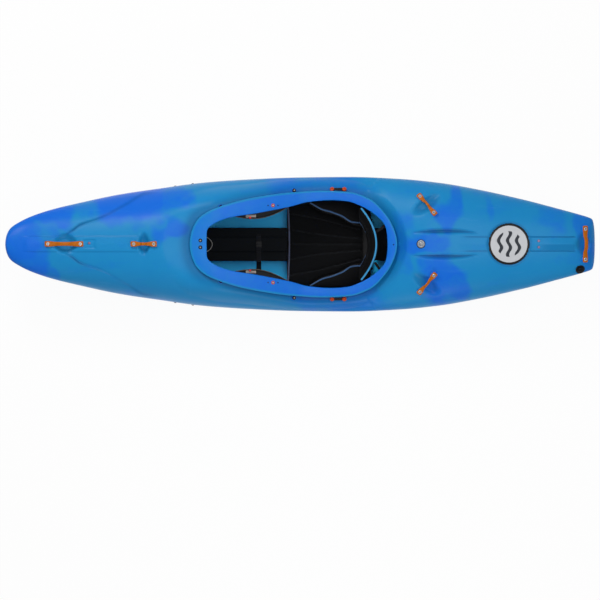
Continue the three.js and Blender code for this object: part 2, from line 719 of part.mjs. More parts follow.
function badgeSolid() {
  const { radius, height, crownRadius, holeRadius } = badge;
  const foot = gap - height / 2;
  return turned([
    [0, foot], [radius, foot], [radius, 0],
    [(3 / 4) * radius, height / 3], [crownRadius, height / 2], [0, height / 2],
  ]).subtract(post(holeRadius, height / 3, height, smallSides));
}

// Bolts through the rim

function rimFrame(x, y) {
  const up = normalOf((at) => rimTop(at), x, 0);
  const along = new THREE.Vector3(0, 1, 0).cross(up);
  const turn = new THREE.Matrix4().makeBasis(along, new THREE.Vector3(0, 1, 0), up);
  return turn.setPosition(x, y, rimTop(x) + 2 * gap);
}

// Inside of the hull, seen from outside: the half width at a height.
function hullSide(x, z, inset = 0) {
  const s = shareAlong(x);
  const half = halfBeam(x) - inset;
  const low = keel(x) + inset;
  const up = clamp((z - low) / (gunwaleAt(s) * bowHeight - low), 0, 1);
  const power = 2 / hullPowerAt(s);
  const sine = Math.sqrt(1 - (1 - up) ** (2 / power));
  return mix(flatAt(s) * half, half, sine ** power);
}

// The rails' inner faces, and the footrest plate's edges between them.
const railInner = hullSide(rail.front, rail.z) - rail.inset;
const footrestHalf = railInner - footrest.railGap;

// Bolt frame on the hull's side, its Z pointing out.
function sideFrame(x, side) {
  const y = side * (hullSide(x, rail.z) + 2 * gap);
  const turn = new THREE.Matrix4().makeRotationX(-side * quarterTurn);
  return turn.setPosition(x, y, rail.z);
}

function railSpacer(x, side) {
  const out = hullSide(x, rail.z);
  const matrix = sideFrame(x, side);
  const reach = out - railInner - rail.thickness - gap;
  return {
    add: placed(post(railBolt.bossRadius, -reach, -wall, smallSides), matrix),
    cut: placed(post(railBolt.shankRadius + gap, -reach - overrun, overrun, smallSides), matrix),
  };
}

// Hull shell

function capFrame(side) {
  return frameBetween([hipCap.front, side * hipCap.y], [hipCap.rear, side * hipCap.y]);
}

function capMount(side) {
  const { matrix, span } = capFrame(side);
  const { radius, shankRadius, length } = hipCap;
  return [-span / 2, span / 2].map((x) => ({
    add: placed(post(radius, -boss.rise - length, 0, smallSides, x), matrix),
    cut: placed(post(shankRadius + gap, -length - gap, overrun, smallSides, x), matrix),
  }));
}

function sidePlaces([x, y]) {
  return [[x, y], [x, -y]];
}

const shortRimBolt = { ...rimBolt, length: handleBolt.length };

function coamingBoltFrame(x, y) {
  return frameOn(x, y).multiply(new THREE.Matrix4().makeTranslation(0, 0, boss.rise));
}

function coamingMount([x, y]) {
  const matrix = coamingBoltFrame(x, y);
  return {
    add: placed(post(rimBolt.headRadius + gap, -boss.depth, -gap, smallSides), matrix),
    cut: placed(post(rimBolt.shankRadius + gap, -shortRimBolt.length - gap, overrun, smallSides), matrix),
  };
}

const frontBolts = sidePlaces(frontBoltPlace);
const thighBolts = sidePlaces(thighBoltPlace);
const coamingBolts = coamingBoltPlaces.flatMap(sidePlaces);
const rearDeckBolts = sidePlaces([alongHull(rearDeckBolt), rearDeckBolt.y]);

function hullShell() {
  const mounts = [
    ...Object.values(handlePlaces).flatMap(handleBosses),
    ...[1, -1].flatMap(capMount),
    ...coamingBolts.map(coamingMount),
    ...railBoltX.flatMap((x) => [1, -1].map((side) => railSpacer(x, side))),
  ];
  const pocket = drainPocket();
  const drainAt = frameOn(alongHull(drain), drain.y);
  mounts.push({ add: placed(pocket.add, drainAt), cut: placed(pocket.cut, drainAt) });
  const rimHole = post(rimBolt.shankRadius + gap, -rimBolt.length, overrun, smallSides);
  const cuts = [
    placed(badgePocket(), frameOn(badge.x, badge.y)),
    ...[...frontBolts, ...thighBolts].map(([x, y]) => placed(rimHole, rimFrame(x, y))),
    ...rearDeckBolts.map(([x, y]) => placed(rimHole, frameOn(x, y))),
  ];
  let shell = outerSkin().subtract(innerSkin()).subtract(cockpitCut()).add(rimSolid());
  for (const { add } of mounts) shell = shell.add(add);
  for (const { cut } of mounts) shell = shell.subtract(cut);
  for (const cut of cuts) shell = shell.subtract(cut);
  return shell;
}

// Hip mount: two round caps joined by a plate, with their shanks down into the bosses.
function hipCapSolid(span) {
  const { radius, height, crownRadius, shankRadius, length, plateHalfWidth } = hipCap;
  const cap = turned([
    [0, -length], [shankRadius, -length], [shankRadius, gap], [radius, gap], [radius, height / 2],
    [crownRadius, height], [0, height],
  ], smallSides);
  const link = box([-span / 2, -plateHalfWidth, gap], [span / 2, plateHalfWidth, hipCap.plate]);
  const shift = (end) => new THREE.Matrix4().makeTranslation((end * span) / 2, 0, 0);
  return link.add(placed(cap, shift(-1))).add(placed(cap, shift(1)));
}

// Seat

const floorGap = (x) => floorAt(x) + gap;
const wingInner = seat.halfWidth - seat.wing;
const trayTop = seat.tray + seat.plate;
const lugInner = band.lowHalf + gap;

function seatPan() {
  const { front, rear, halfWidth, tray, footHalfWidth, footRear, wingFront, wingRear, wingHeight } = seat;
  const { lug, lugHalfLength, pivotRadius } = seat;
  const foot = Math.max(floorGap(front), floorGap(footRear));
  let pan = box([front, -halfWidth, tray], [rear, halfWidth, trayTop]);
  pan = pan.add(box([front, -footHalfWidth, foot], [footRear, footHalfWidth, tray + gap]));
  for (const side of [-1, 1]) {
    const [a, b] = acrossFrom(side, wingInner, halfWidth);
    pan = pan.add(box([wingFront, a, tray], [wingRear, b, trayTop + wingHeight]));
    const [c, d] = acrossFrom(side, lugInner, lugInner + lug);
    const low = [band.pivotX - lugHalfLength, c, tray];
    pan = pan.add(box(low, [band.pivotX + lugHalfLength, d, band.pivotZ]));
    pan = pan.add(pivotBar(band.earRadius, c, d));
    pan = pan.add(pivotBar(pivotRadius, ...acrossFrom(side, lugInner - gap - band.ear, lugInner + lug / 2)));
  }
  return pan;
}

// A round bar across the boat on the backband's pivot.
function pivotBar(radius, low, high) {
  const bar = new THREE.CylinderGeometry(radius, radius, high - low, roundSides);
  return solidOf(bar.translate(band.pivotX, (low + high) / 2, band.pivotZ));
}

const hipAt = curveThrough(hipPadShares);
const hipOuter = wingInner - gap;

function hipInner(x) {
  return hipAt((x - hipPad.front) / (hipPad.rear - hipPad.front)) * hipOuter;
}

// A hip pad: crowned inner face, drawn in at its ends, lower at the back.
function hipPadSolid(side) {
  const { front, rear, height, draw, crown } = hipPad;
  const inner = (u, v) => {
    const x = mix(front, rear, u);
    const top = height * mix(1, 3 / 4, smoothStep(2 * u - 1)) - draw * (2 * u - 1) ** 2;
    const swell = crown * Math.sin(Math.PI * v) * Math.sin(Math.PI * u) - draw * (2 * v - 1) ** 4 * u;
    return [x, side * Math.min(hipInner(x) - swell, hipOuter - draw / 2), trayTop + gap + v * top];
  };
  const outer = (u, v) => {
    const [x, , z] = inner(u, v);
    return [x, side * hipOuter, z];
  };
  return slab(padGrid, inner, outer);
}

// The seat cushion: crowned, with sewn channels that fan out to the front.
function seatPadSolid() {
  const { rear, thickness, crown, channel, channelHalf, draw, sideGap } = seatPad;
  const place = (u, v) => {
    const x = mix(seat.front, rear, u);
    const beside = hipInner(Math.max(x, hipPad.front)) - sideGap - hipPad.crown;
    const narrow = x > hipPad.front - sideGap ? beside : hipOuter;
    const q = 2 * v - 1;
    const half = Math.min(narrow, hipOuter - sideGap) - draw * (2 * u - 1) ** 4;
    return { x, q, half };
  };
  const top = (u, v) => {
    const { x, q, half } = place(u, v);
    const swell = crown * (1 - q ** 4) * Math.sin(Math.PI * clamp(u, hollowShare, 1 - hollowShare));
    const sewn = channelShares.some((share) => Math.abs(Math.abs(q) - share) < channelHalf);
    const edge = thickness * (1 - (2 * u - 1) ** 8 / 3) * (1 - q ** 8 / 3);
    return [x, q * half, trayTop + gap + edge + swell - (sewn ? channel : 0)];
  };
  const bottom = (u, v) => {
    const { x, q, half } = place(u, v);
    return [x, q * (half - draw), trayTop + gap];
  };
  return slab(seatPadGrid, top, bottom);
}

// Backband

function bandPlace(u, v, back) {
  const q = 2 * u - 1;
  const bow = mix(band.lowSag, band.highSag, v) * q * q;
  return [
    mix(band.lowX, band.highX, v) - bow + back,
    q * mix(band.lowHalf, band.highHalf, v),
    mix(band.lowZ, band.highZ - band.drop * q * q, v),
  ];
}

function backbandShell() {
  const { shell, ear, earRadius, earReach, earHeight, pivotX, lowZ } = band;
  let plateSolid = slab(padGrid, (u, v) => bandPlace(u, v, shell), (u, v) => bandPlace(u, v, 0));
  for (const side of [-1, 1]) {
    const [a, b] = acrossFrom(side, lugInner - gap - ear, lugInner - gap);
    const low = [pivotX - earReach, a, lowZ];
    const arm = box(low, [pivotX, b, lowZ + earHeight]).add(pivotBar(earRadius, a, b));
    const hole = pivotBar(seat.pivotRadius + gap, a - overrun, b + overrun);
    plateSolid = plateSolid.add(arm.subtract(hole));
  }
  return plateSolid;
}

// The band's padding: crowned, thin at its edges, with a sewn line along its middle.
function backbandPad() {
  const { pad, crown, edge } = band;
  const face = (u, v) => {
    const [q, w] = [2 * u - 1, 2 * v - 1];
    const full = (1 - q ** 6) * (1 - w ** 6);
    const sewn = Math.abs(w) < hollowShare ? crown / 2 : 0;
    return bandPlace(mix(u, 1 / 2, edge / band.highHalf), v, -mix(pad - crown, pad, full) + sewn);
  };
  return slab(padGrid, face, (u, v) => bandPlace(u, v, -gap));
}

// Pillars

// Inner stations between two places, with both ends.
function innerPlaces(front, rear) {
  return [front, ...innerLine.filter((x) => x > front && x < rear), rear];
}

// A foam wall from the floor to just under the deck.
function deckPost(front, rear, halfWidth, clear) {
  const places = innerPlaces(front, rear);
  const across = [0, halfWidth, 2 * halfWidth];
  const under = (x) => Math.min(...across.map((y) => innerDeckHeight(x, y, wall))) - clear;
  const outline = [
    ...places.map((x) => [x, floorGap(x)]),
    ...places.reverse().map((x) => [x, under(x)]),
  ];
  return wallAcross(outline, -halfWidth, halfWidth);
}

const platformTop = frontPillar.height;
const coreTop = platformTop + frontPillar.coreRise;

function frontPillarSolid() {
  const { front, step, halfWidth, core, postHalf, clear } = frontPillar;
  const rear = seat.front - gap;
  const places = innerPlaces(front, rear);
  const foot = [...places.map((x) => [x, floorGap(x)]), [rear, platformTop], [front, platformTop]];
  const low = seat.tray + seat.plate;
  return wallAcross(foot, -postHalf, postHalf)
    .add(box([front, -halfWidth, low], [rear, halfWidth, platformTop]))
    .add(box([front, -core, low], [rear, core, coreTop]))
    .add(deckPost(front, step, postHalf, clear));
}

function rearPillarSolid() {
  const { front, step, rear, halfWidth, height, postHalf, clear } = rearPillar;
  const places = innerPlaces(front, step);
  const foot = [...places.map((x) => [x, floorGap(x)]), [step, height], [front, height]];
  const pillar = wallAcross(foot, -postHalf, postHalf)
    .add(box([front, -halfWidth, seat.tray + seat.plate], [step, halfWidth, height]))
    .add(deckPost(step - gap, rear, postHalf, clear));
  const hole = post(rimBolt.shankRadius + gap, -rimBolt.length, overrun, smallSides);
  return rearDeckBolts.reduce((solid, [x, y]) => solid.subtract(placed(hole, frameOn(x, y))), pillar);
}

// Thigh braces

const openingHalf = (x) => (openingAt((x - openingFront) / openingLength) * openingWidth) / 2;
const lipHalf = (x) => (rimAt((x - rimFront) / rimLength) * rimWidth) / 2;

// Height of a brace's top: just under the rim's hem, and falling away towards the paddler's knee.
function braceTop(x, y) {
  const out = clamp((y - brace.inner) / (thighBoltPlace[1] - brace.inner), 0, 1);
  return rimTop(x) - rimHem - brace.drop - brace.sag * (1 - out) ** 2;
}

function bracePlace(side, proud, low) {
  return (u, v) => {
    const x = mix(brace.front - proud, brace.rear + proud, u);
    const inner = openingHalf(x) + rimFlange - (rimFlange + brace.inward) * Math.sin(Math.PI * u);
    const outer = lipHalf(x) - brace.outerInset;
    const y = mix(inner - proud, outer, v);
    return [x, side * y, braceTop(x, y) - low];
  };
}

const braceHole = post(rimBolt.shankRadius + gap, -2 * rimBolt.length, overrun, smallSides);

function thighBrace(side) {
  const [x, y] = thighBoltPlace;
  const plateSolid = slab(braceGrid, bracePlace(side, 0, 0), bracePlace(side, 0, brace.thickness));
  return plateSolid.subtract(placed(braceHole, rimFrame(x, side * y)));
}

function thighPad(side) {
  const [x, y] = thighBoltPlace;
  const low = brace.thickness + brace.padClear;
  const under = (u, v) => {
    const full = Math.sin(Math.PI * u) * Math.sin(Math.PI * clamp(v, hollowShare, 1 - hollowShare));
    return bracePlace(side, brace.proud, low + brace.pad * mix(1 / 2, 1, full))(u, v);
  };
  const padSolid = slab(braceGrid, bracePlace(side, brace.proud, low), under);
  return padSolid.subtract(placed(braceHole, rimFrame(x, side * y)));
}

// Ratchets

function ratchetFrame(side) {
  const { x, halfLength, halfWidth, inset, lift } = ratchet;
  const y = openingHalf(x) - inset - halfWidth;
  const height = (at, across) => braceTop(at, Math.abs(across));
  return frameBetween([x - halfLength, side * y], [x + halfLength, side * y], height, lift, height).matrix;
}

const pinX = 2 * ratchet.pivot - ratchet.halfLength;

function ratchetPin(radius, half) {
  const bar = new THREE.CylinderGeometry(radius, radius, 2 * half, smallSides);
  return solidOf(bar.translate(pinX, 0, ratchet.lever + ratchet.pivot));
}

function ratchetBase() {
  const { halfLength, halfWidth, height, lever, pivot, fork } = ratchet;
  const cheek = (side) => {
    const [a, b] = acrossFrom(side, halfWidth, halfWidth - fork);
    return box([-halfLength, a, 0], [4 * pivot - halfLength, b, height]);
  };
  const floor = box([-halfLength, -halfWidth, 0], [halfLength, halfWidth, lever - gap]);
  return floor.add(cheek(1)).add(cheek(-1)).subtract(ratchetPin(pivot / 2 + gap, halfWidth + overrun));
}

function ratchetLever() {
  const { halfWidth, fork, lever, leverLength, pivot, height } = ratchet;
  const half = halfWidth - fork - gap;
  const bar = box([pinX, -half, lever], [pinX + leverLength, half, (lever + height) / 2 + gap]);
  return bar.add(ratchetPin(pivot - gap, half)).add(ratchetPin(pivot / 2, halfWidth));
}

// Footrest

function railSolid(side) {
  const { front, rear, thickness, height, z } = rail;
  const [a, b] = acrossFrom(side, railInner, railInner + thickness);
  const bar = box([front, a, z - height / 2], [rear, b, z + height / 2]);
  const hole = (x) => post(railBolt.shankRadius + gap, -hullSide(x, z), 0, smallSides);
  return railBoltX.reduce((solid, x) => solid.subtract(placed(hole(x), sideFrame(x, side))), bar);
}

function railBoltSolid(x) {
  const length = hullSide(x, rail.z) - railInner - gap;
  return boltSolid({ ...railBolt, length });
}

// Seen from the bow: narrow at the foot, wide at the rails, narrower under the deck.
function footrestOutline(shrink) {
  const { top, bottom, shoulder, waist, footShare } = footrest;
  const foot = footShare * footrestHalf;
  const half = [
    [foot, bottom], [footrestHalf, waist], [footrestHalf, shoulder], [foot, top],
  ].map(([y, z]) => [y - shrink, z - shrink * Math.sign(z - rail.z - rail.height)]);
  return [...half, ...half.map(([y, z]) => [-y, z]).reverse()];
}

// A [y, z] outline drawn out towards the stern.
function plateAcross(outline, front, rear) {
  const shape = new THREE.Shape(outline.map(([y, z]) => new THREE.Vector2(y, z)));
  const geometry = new THREE.ExtrudeGeometry(shape, { depth: rear - front, bevelEnabled: false });
  return solidOf(geometry.rotateX(quarterTurn).rotateZ(quarterTurn).translate(front, 0, 0));
}

function footrestPlate() {
  const { x, thickness, armLength, armHeight, armThickness } = footrest;
  let solid = plateAcross(footrestOutline(0), x, x + thickness);
  const outer = railInner - gap;
  for (const side of [-1, 1]) {
    const [a, b] = acrossFrom(side, outer - armThickness, outer);
    const [low, high] = [rail.z - armHeight / 2, rail.z + armHeight / 2];
    solid = solid.add(box([x, a, low], [x + armLength, b, high]));
  }
  return solid;
}

function footrestPad() {
  const { x, thickness, pad, inset } = footrest;
  return plateAcross(footrestOutline(inset), x + thickness + gap, x + thickness + gap + pad);
}

// Strap over the front pillar and down to the hull floor on the port side

function strapSolid() {
  const { x, halfWidth, thickness } = strap;
  const { core, halfWidth: wide } = frontPillar;
  const lift = gap + thickness / 2;
  const low = floorGap(x) + thickness / 2;
  const path = [
    [strap.drop, platformTop + lift], [core + lift, platformTop + lift], [core + lift, coreTop],
    [core, coreTop + lift], [-core, coreTop + lift],
    [-core - lift, coreTop], [-core - lift, platformTop + lift],
    [-wide, platformTop + lift], [-wide - lift, platformTop], [-wide - lift, low + lift],
    [-wide - 2 * lift, low], [-wide - strap.drop, low],
  ];
  const rings = path.map(([y, z], i) => {
    const before = path[Math.max(i - 1, 0)];
    const after = path[Math.min(i + 1, path.length - 1)];
    const along = new THREE.Vector2(after[0] - before[0], after[1] - before[1]).normalize();
    const out = new THREE.Vector2(-along.y, along.x).multiplyScalar(thickness / 2);
    const corner = (dx, sign) => new THREE.Vector3(x + dx, y + sign * out.x, z + sign * out.y);
    return [corner(-halfWidth, -1), corner(halfWidth, -1), corner(halfWidth, 1), corner(-halfWidth, 1)];
  });
  return loft(rings);
}

function buckleSolid() {
  const { x, thickness, buckle, buckleHalf, halfWidth } = strap;
  const low = coreTop + gap + thickness + gap;
  const half = halfWidth + thickness;
  const frame = box([x - half, -buckleHalf, low], [x + half, buckleHalf, low + buckle / 2]);
  const bar = (y) => box([x - halfWidth, y, low + buckle / 4], [x + halfWidth, y + buckle / 3, low + buckle]);
  return [-buckleHalf, -buckle / 6, buckleHalf - buckle / 3].reduce((solid, y) => solid.add(bar(y)), frame);
}

// The cord's loop over the front of the pillar: both ends meet the post's rear face.
const pillarCordRoute = [
  [-451.7, 36, 108.4], [-446, 35, 108.4], [-438, 32, 108.4], [-428, 25, 108.4], [-419, 15, 108.4],
  [-414, 4, 108.4], [-415, -8, 108.4], [-421, -19, 108.4], [-430, -28, 108.4], [-440, -34, 108.4],
  [-446, -36, 108.4], [-451.7, -37, 108.4],
];

function pillarCord() {
  const path = new THREE.CatmullRomCurve3(pillarCordRoute.map((p) => new THREE.Vector3(...p)));
  const radius = pillarCordDiameter / 2;
  const corners = Array.from({ length: pillarCordSides }, (_, i) => {
    const turn = ((i + 1 / 2) * 2 * Math.PI) / pillarCordSides;
    return new THREE.Vector2(radius * Math.cos(turn), radius * Math.sin(turn));
  });
  const options = { steps: pillarCordSteps, extrudePath: path, bevelEnabled: false };
  return solidOf(new THREE.ExtrudeGeometry(new THREE.Shape(corners), options));
}

// Assembly

const kayak = new THREE.Group();
kayak.name = "whitewater_kayak";
const sideNames = [["starboard", 1], ["port", -1]];

function addPiece(name, solid, material, matrix = new THREE.Matrix4()) {
  const mesh = new THREE.Mesh(geometryOf(solid), material);
  mesh.name = name;
  mesh.applyMatrix4(matrix);
  kayak.add(mesh);
}

function addHandles() {
  for (const [name, place] of Object.entries(handlePlaces)) {
    const { matrix, span } = frameBetween(...handleEnds(place));
    addPiece(name, handleSolid(span), handleOrange, matrix);
    for (const [end, side] of [["front", -1], ["rear", 1]]) {
      const seatHeight = handleBar.thickness + handleBar.crown + 2 * gap;
      const shift = new THREE.Matrix4().makeTranslation((side * span) / 2, 0, seatHeight);
      addPiece(`${name}_bolt_${end}`, boltSolid(handleBolt), steel, matrix.clone().multiply(shift));
    }
  }
}

function addDeckFittings() {
  const drainAt = frameOn(alongHull(drain), drain.y);
  addPiece("drain_housing", drainHousing(), blackPlastic, drainAt);
  addPiece("drain_seal", drainSealRing(), foam, drainAt);
  addPiece("drain_plug", drainPlugSolid(), blackPlastic, drainAt);
  addPiece("deck_badge", badgeSolid(), silver, frameOn(badge.x, badge.y));
  sideNames.forEach(([name, side], i) => {
    const { matrix, span } = capFrame(side);
    addPiece(`hip_cap_${name}`, hipCapSolid(span), capOrange, matrix);
    const lift = new THREE.Matrix4().makeTranslation(0, 0, 2 * gap);
    const rearAt = frameOn(...rearDeckBolts[i]).multiply(lift);
    addPiece(`rear_deck_bolt_${name}`, boltSolid(rimBolt), steel, rearAt);
    addPiece(`rim_bolt_${name}`, boltSolid(shortRimBolt), steel, rimFrame(...frontBolts[i]));
    addPiece(`thigh_bolt_${name}`, boltSolid(rimBolt), capOrange, rimFrame(...thighBolts[i]));
    ["front", "middle"].forEach((place, row) => {
      const at = coamingBoltFrame(...coamingBolts[2 * row + i]);
      addPiece(`coaming_bolt_${place}_${name}`, boltSolid(shortRimBolt), steel, at);
    });
  });
}

function addOutfitting() {
  addPiece("seat_pan", seatPan(), blackPlastic);
  addPiece("seat_pad", seatPadSolid(), fabric);
  addPiece("backband_shell", backbandShell(), blackPlastic);
  addPiece("backband_pad", backbandPad(), fabric);
  addPiece("front_pillar", frontPillarSolid(), foam);
  addPiece("rear_pillar", rearPillarSolid(), foam);
  addPiece("footrest_plate", footrestPlate(), blackPlastic);
  addPiece("footrest_pad", footrestPad(), foam);
  for (const [name, side] of sideNames) {
    addPiece(`hip_pad_${name}`, hipPadSolid(side), fabric);
    addPiece(`thigh_brace_${name}`, thighBrace(side), blackPlastic);
    addPiece(`thigh_pad_${name}`, thighPad(side), foam);
    addPiece(`ratchet_base_${name}`, ratchetBase(), ratchetGrey, ratchetFrame(side));
    addPiece(`ratchet_lever_${name}`, ratchetLever(), ratchetGrey, ratchetFrame(side));
    addPiece(`footrest_rail_${name}`, railSolid(side), aluminium);
    railBoltX.forEach((x, i) => {
      const place = i === 0 ? "front" : "rear";
      addPiece(`rail_bolt_${place}_${name}`, railBoltSolid(x), steel, sideFrame(x, side));
    });
  }
  addPiece("pillar_strap", strapSolid(), webbing);
  addPiece("strap_buckle", buckleSolid(), blackPlastic);
  addPiece("pillar_cord", pillarCord(), cordGrey);
}

addPiece("hull_shell", hullShell(), plastic);
addHandles();
addDeckFittings();
addOutfitting();

export default kayak;
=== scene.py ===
import json
import math

import bmesh
import bpy
import numpy as np
from bpy.props import FloatProperty, FloatVectorProperty, PointerProperty
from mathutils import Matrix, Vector


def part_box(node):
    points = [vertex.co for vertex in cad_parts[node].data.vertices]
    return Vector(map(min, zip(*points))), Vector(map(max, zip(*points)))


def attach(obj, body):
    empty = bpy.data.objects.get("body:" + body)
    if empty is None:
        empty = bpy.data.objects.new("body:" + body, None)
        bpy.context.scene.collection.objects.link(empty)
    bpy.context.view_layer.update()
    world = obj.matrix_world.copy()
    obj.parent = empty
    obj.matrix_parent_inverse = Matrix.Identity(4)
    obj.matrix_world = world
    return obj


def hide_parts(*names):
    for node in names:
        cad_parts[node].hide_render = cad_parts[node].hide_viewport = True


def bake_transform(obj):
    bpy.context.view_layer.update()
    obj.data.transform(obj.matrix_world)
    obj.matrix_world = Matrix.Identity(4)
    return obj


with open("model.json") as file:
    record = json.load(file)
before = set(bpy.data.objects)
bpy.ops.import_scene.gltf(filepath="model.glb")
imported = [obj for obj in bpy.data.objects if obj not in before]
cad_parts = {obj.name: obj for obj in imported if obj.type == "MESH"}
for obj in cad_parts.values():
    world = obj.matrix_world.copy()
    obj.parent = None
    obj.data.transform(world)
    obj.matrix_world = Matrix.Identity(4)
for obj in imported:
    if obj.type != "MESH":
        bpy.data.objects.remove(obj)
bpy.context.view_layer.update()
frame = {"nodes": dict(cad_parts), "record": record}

bl_info = {
    "name": "Whitewater kayak finish",
    "version": (1, 0, 0),
    "blender": (4, 5, 0),
    "location": "3D View > Sidebar > Kayak",
    "description": "Finishes the kayak's shell, handles and padded outfitting around its packed frame",
    "category": "Object",
}

# Frame: millimetres in the shape code, metres in the meshes

MM = 0.001


def cad_box(node):
    """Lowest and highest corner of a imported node, in millimetres."""
    low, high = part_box(node)
    return np.array(low) / MM, np.array(high) / MM


BOW, STERN = (corner[0] for corner in cad_box("hull_shell"))
LENGTH = STERN - BOW
FULL_BEAM = 630
BOW_HEIGHT = 429
WALL = 5
GAP = 0.3


# Lines of the hull, as shares along its length from the bow

PLAN_SHARES = [
    (0, 0), (0.0071, 0.215), (0.0241, 0.326), (0.0411, 0.4), (0.075, 0.504), (0.126, 0.615),
    (0.194, 0.741), (0.262, 0.83), (0.33, 0.911), (0.398, 0.956), (0.5, 0.993), (0.584, 1),
    (0.669, 0.97), (0.737, 0.911), (0.805, 0.807), (0.873, 0.674), (0.941, 0.519), (0.975, 0.437),
    (0.9886, 0.4), (0.9954, 0.37), (0.9988, 0.26), (1, 0),
]
KEEL_SHARES = [
    (0, 0.942), (0.0032, 0.876), (0.0119, 0.779), (0.0334, 0.642), (0.0552, 0.5375), (0.0985, 0.378),
    (0.1418, 0.256), (0.185, 0.17), (0.2284, 0.107), (0.2716, 0.051), (0.315, 0.0142), (0.355, 0),
    (0.523, 0), (0.5856, 0.0347), (0.6523, 0.0665), (0.71, 0.117), (0.766, 0.187), (0.8455, 0.297),
    (0.918, 0.428), (0.9934, 0.556), (1, 0.627),
]
GUNWALE_SHARES = [
    (0, 0.942), (0.0183, 0.911), (0.0832, 0.753), (0.1418, 0.613), (0.2068, 0.5235), (0.2934, 0.468),
    (0.3806, 0.445), (0.5165, 0.445), (0.6523, 0.485), (0.7433, 0.515), (0.834, 0.543), (0.902, 0.594),
    (0.9706, 0.632), (1, 0.627),
]
DECK_SHARES = [
    (0, 0.942), (0.0032, 0.998), (0.0224, 1), (0.0683, 0.97), (0.1005, 0.958), (0.1531, 0.951),
    (0.2109, 0.956), (0.2822, 0.963), (0.3127, 0.945), (0.3806, 0.87), (0.4486, 0.78), (0.5504, 0.7),
    (0.6243, 0.72), (0.6523, 0.767), (0.684, 0.814), (0.716, 0.862), (0.766, 0.879), (0.8068, 0.87),
    (0.8729, 0.8275), (0.95, 0.786), (0.9888, 0.727), (0.9986, 0.66), (1, 0.627),
]
HULL_POWER_SHARES = [(0, 2), (0.2, 2.5), (0.45, 3.2), (0.7, 2.8), (1, 2.3)]
DECK_POWER_SHARES = [(0, 2), (0.2, 2.1), (0.45, 2.5), (0.75, 2.3), (1, 2.4)]
FLAT_SHARES = [(0, 0.1), (0.2, 0.2), (0.36, 0.42), (0.52, 0.45), (0.75, 0.3), (1, 0.2)]

# Cockpit rim

RIM_FRONT = -516
RIM_LENGTH = 967
RIM_WIDTH = 498
OPENING_FRONT = -437
OPENING_LENGTH = 843
OPENING_WIDTH = 410
RIM_LIP = 18
RIM_FLANGE = 7
RIM_HEM = 11
COAMING_WALL = 6
COAMING_FILLET = 8
RIM_SHARES = [
    (0, 0), (0.0483, 0.497), (0.145, 0.698), (0.32, 0.876), (0.497, 0.97), (0.641, 1),
    (0.761, 0.979), (0.865, 0.854), (0.945, 0.559), (0.993, 0.188), (1, 0),
]
OPENING_SHARES = [
    (0, 0), (0.0008, 0.26), (0.0255, 0.415), (0.1357, 0.604), (0.273, 0.697), (0.457, 0.847), (0.567, 0.961),
    (0.687, 1), (0.778, 0.973), (0.852, 0.868), (0.944, 0.622), (0.99, 0.376), (1, 0),
]
RIM_HEIGHT_SHARES = [
    (0, 0.967), (0.1, 0.967), (0.193, 0.934), (0.29, 0.887), (0.386, 0.828), (0.483, 0.763),
    (0.563, 0.719), (0.65, 0.709), (0.787, 0.709), (0.87, 0.718), (0.942, 0.741), (1, 0.769),
]
RIM_STAND_SIDE = 34
RIM_STAND_END = 24
# How far out from the rim the deck's trough reaches, as shares of its width along the rim
TROUGH_WIDTH = 122
TROUGH_SHARES = [(0, 1), (0.12, 0.78), (0.3, 0.56), (0.6, 0.5), (0.85, 0.46), (1, 0.4)]

# Deck reliefs; where one has a painted-shade value, it is how strongly painted shade darkens the shell there, from 0 to
# 1

BOW_SCOOP = {"x": -1095, "y": 0, "half_length": 64, "half_width": 54, "depth": 20, "turn": 0, "crease": 0.35}
FRONT_RECESS = {"x": -729, "y": 0, "half_length": 29, "half_width": 60, "depth": 16, "turn": 0, "crease": 0.6}
STERN_RECESS = {"x": 1322, "y": 0, "half_length": 38, "half_width": 60, "depth": 15, "turn": 0, "crease": 0.3}
REAR_RECESS = {"x": 589, "y": 186, "half_length": 90, "half_width": 36, "depth": 16, "turn": 0.62, "crease": 0.5}
NUMBER_DISH = {"x": 972, "radius": 101, "depth": 3, "soft": 5, "crease": 0.5}
ROUNDEL_RADIUS = 97
# The step beside the raised nose, with a groove at its foot; it softens, and the painted shade along it fades, from
# front to rear
NOSE_STEP = {
    "depth": 7, "soft": 9, "soft_from": -1000, "soft_over": 260, "end": -640, "fade": 110, "groove": 3.5,
    "groove_out": -4, "groove_width": 6, "shade_weights": (0.95, 0.45), "shade_from": -1060, "shade_over": 90,
}
NOSE_STEP_SHARES = [(0.095, 0.2), (0.1155, 0.37), (0.126, 0.47), (0.165, 0.6), (0.204, 0.79), (0.238, 0.95), (1, 1)]
BOW_POCKET = {"front": -1016, "rear": -954, "half_width": 20, "depth": 5, "soft": 2.5, "bolt": (-984, 4)}
SHOULDER = {"height": 2.2, "y": 128, "front": -960, "rear": -500, "soft": 150, "fall": 90}
BOW_STRIP = {"half_width": 36, "rise": 2.2, "crown": 1.6, "soft": 3, "front": -1290, "rear": -745, "crease": 0.3}
STERN_STRIP = {
    "half_width": 33, "depth": 4.2, "crown": 2.4, "soft": 2.4, "front": 735, "rear": 1287, "crease": 0.75,
    "end_crown": 5.5, "end_from": 1110, "end_over": 70,
}
# Painted shade: the port half of the sunk strip near the stern is darkened, as if its crown turned it from the light
STERN_SHADE = {"front": 1120, "y": -17, "half_width": 15, "soft": 3, "crease": 0.3}
REAR_GROOVE = {"y": 49, "width": 28, "depth": 12, "front": 512, "rear": 828}
REAR_SHOULDER = {
    "drop": 7, "inner": 236, "inner_over": 14, "front": 60, "front_over": 190, "bend": 252, "inner_end": 322,
    "outer_end": 356, "end_over": 12, "outer": 296,
}
# Painted shade in the trough round the rim, and a wider band of it ahead of the rim's front
RIM_PAINTED_SHADE = {"reach": 36, "crease": 0.55}
RIM_FRONT_PAINTED_SHADE = {"out": 20, "reach": 26, "from": -540, "over": 260, "crease": 0.6}
DRAIN_RECESS = {"x": 1306, "y": -119, "half_length": 33, "half_width": 21, "depth": 5, "turn": -0.25}
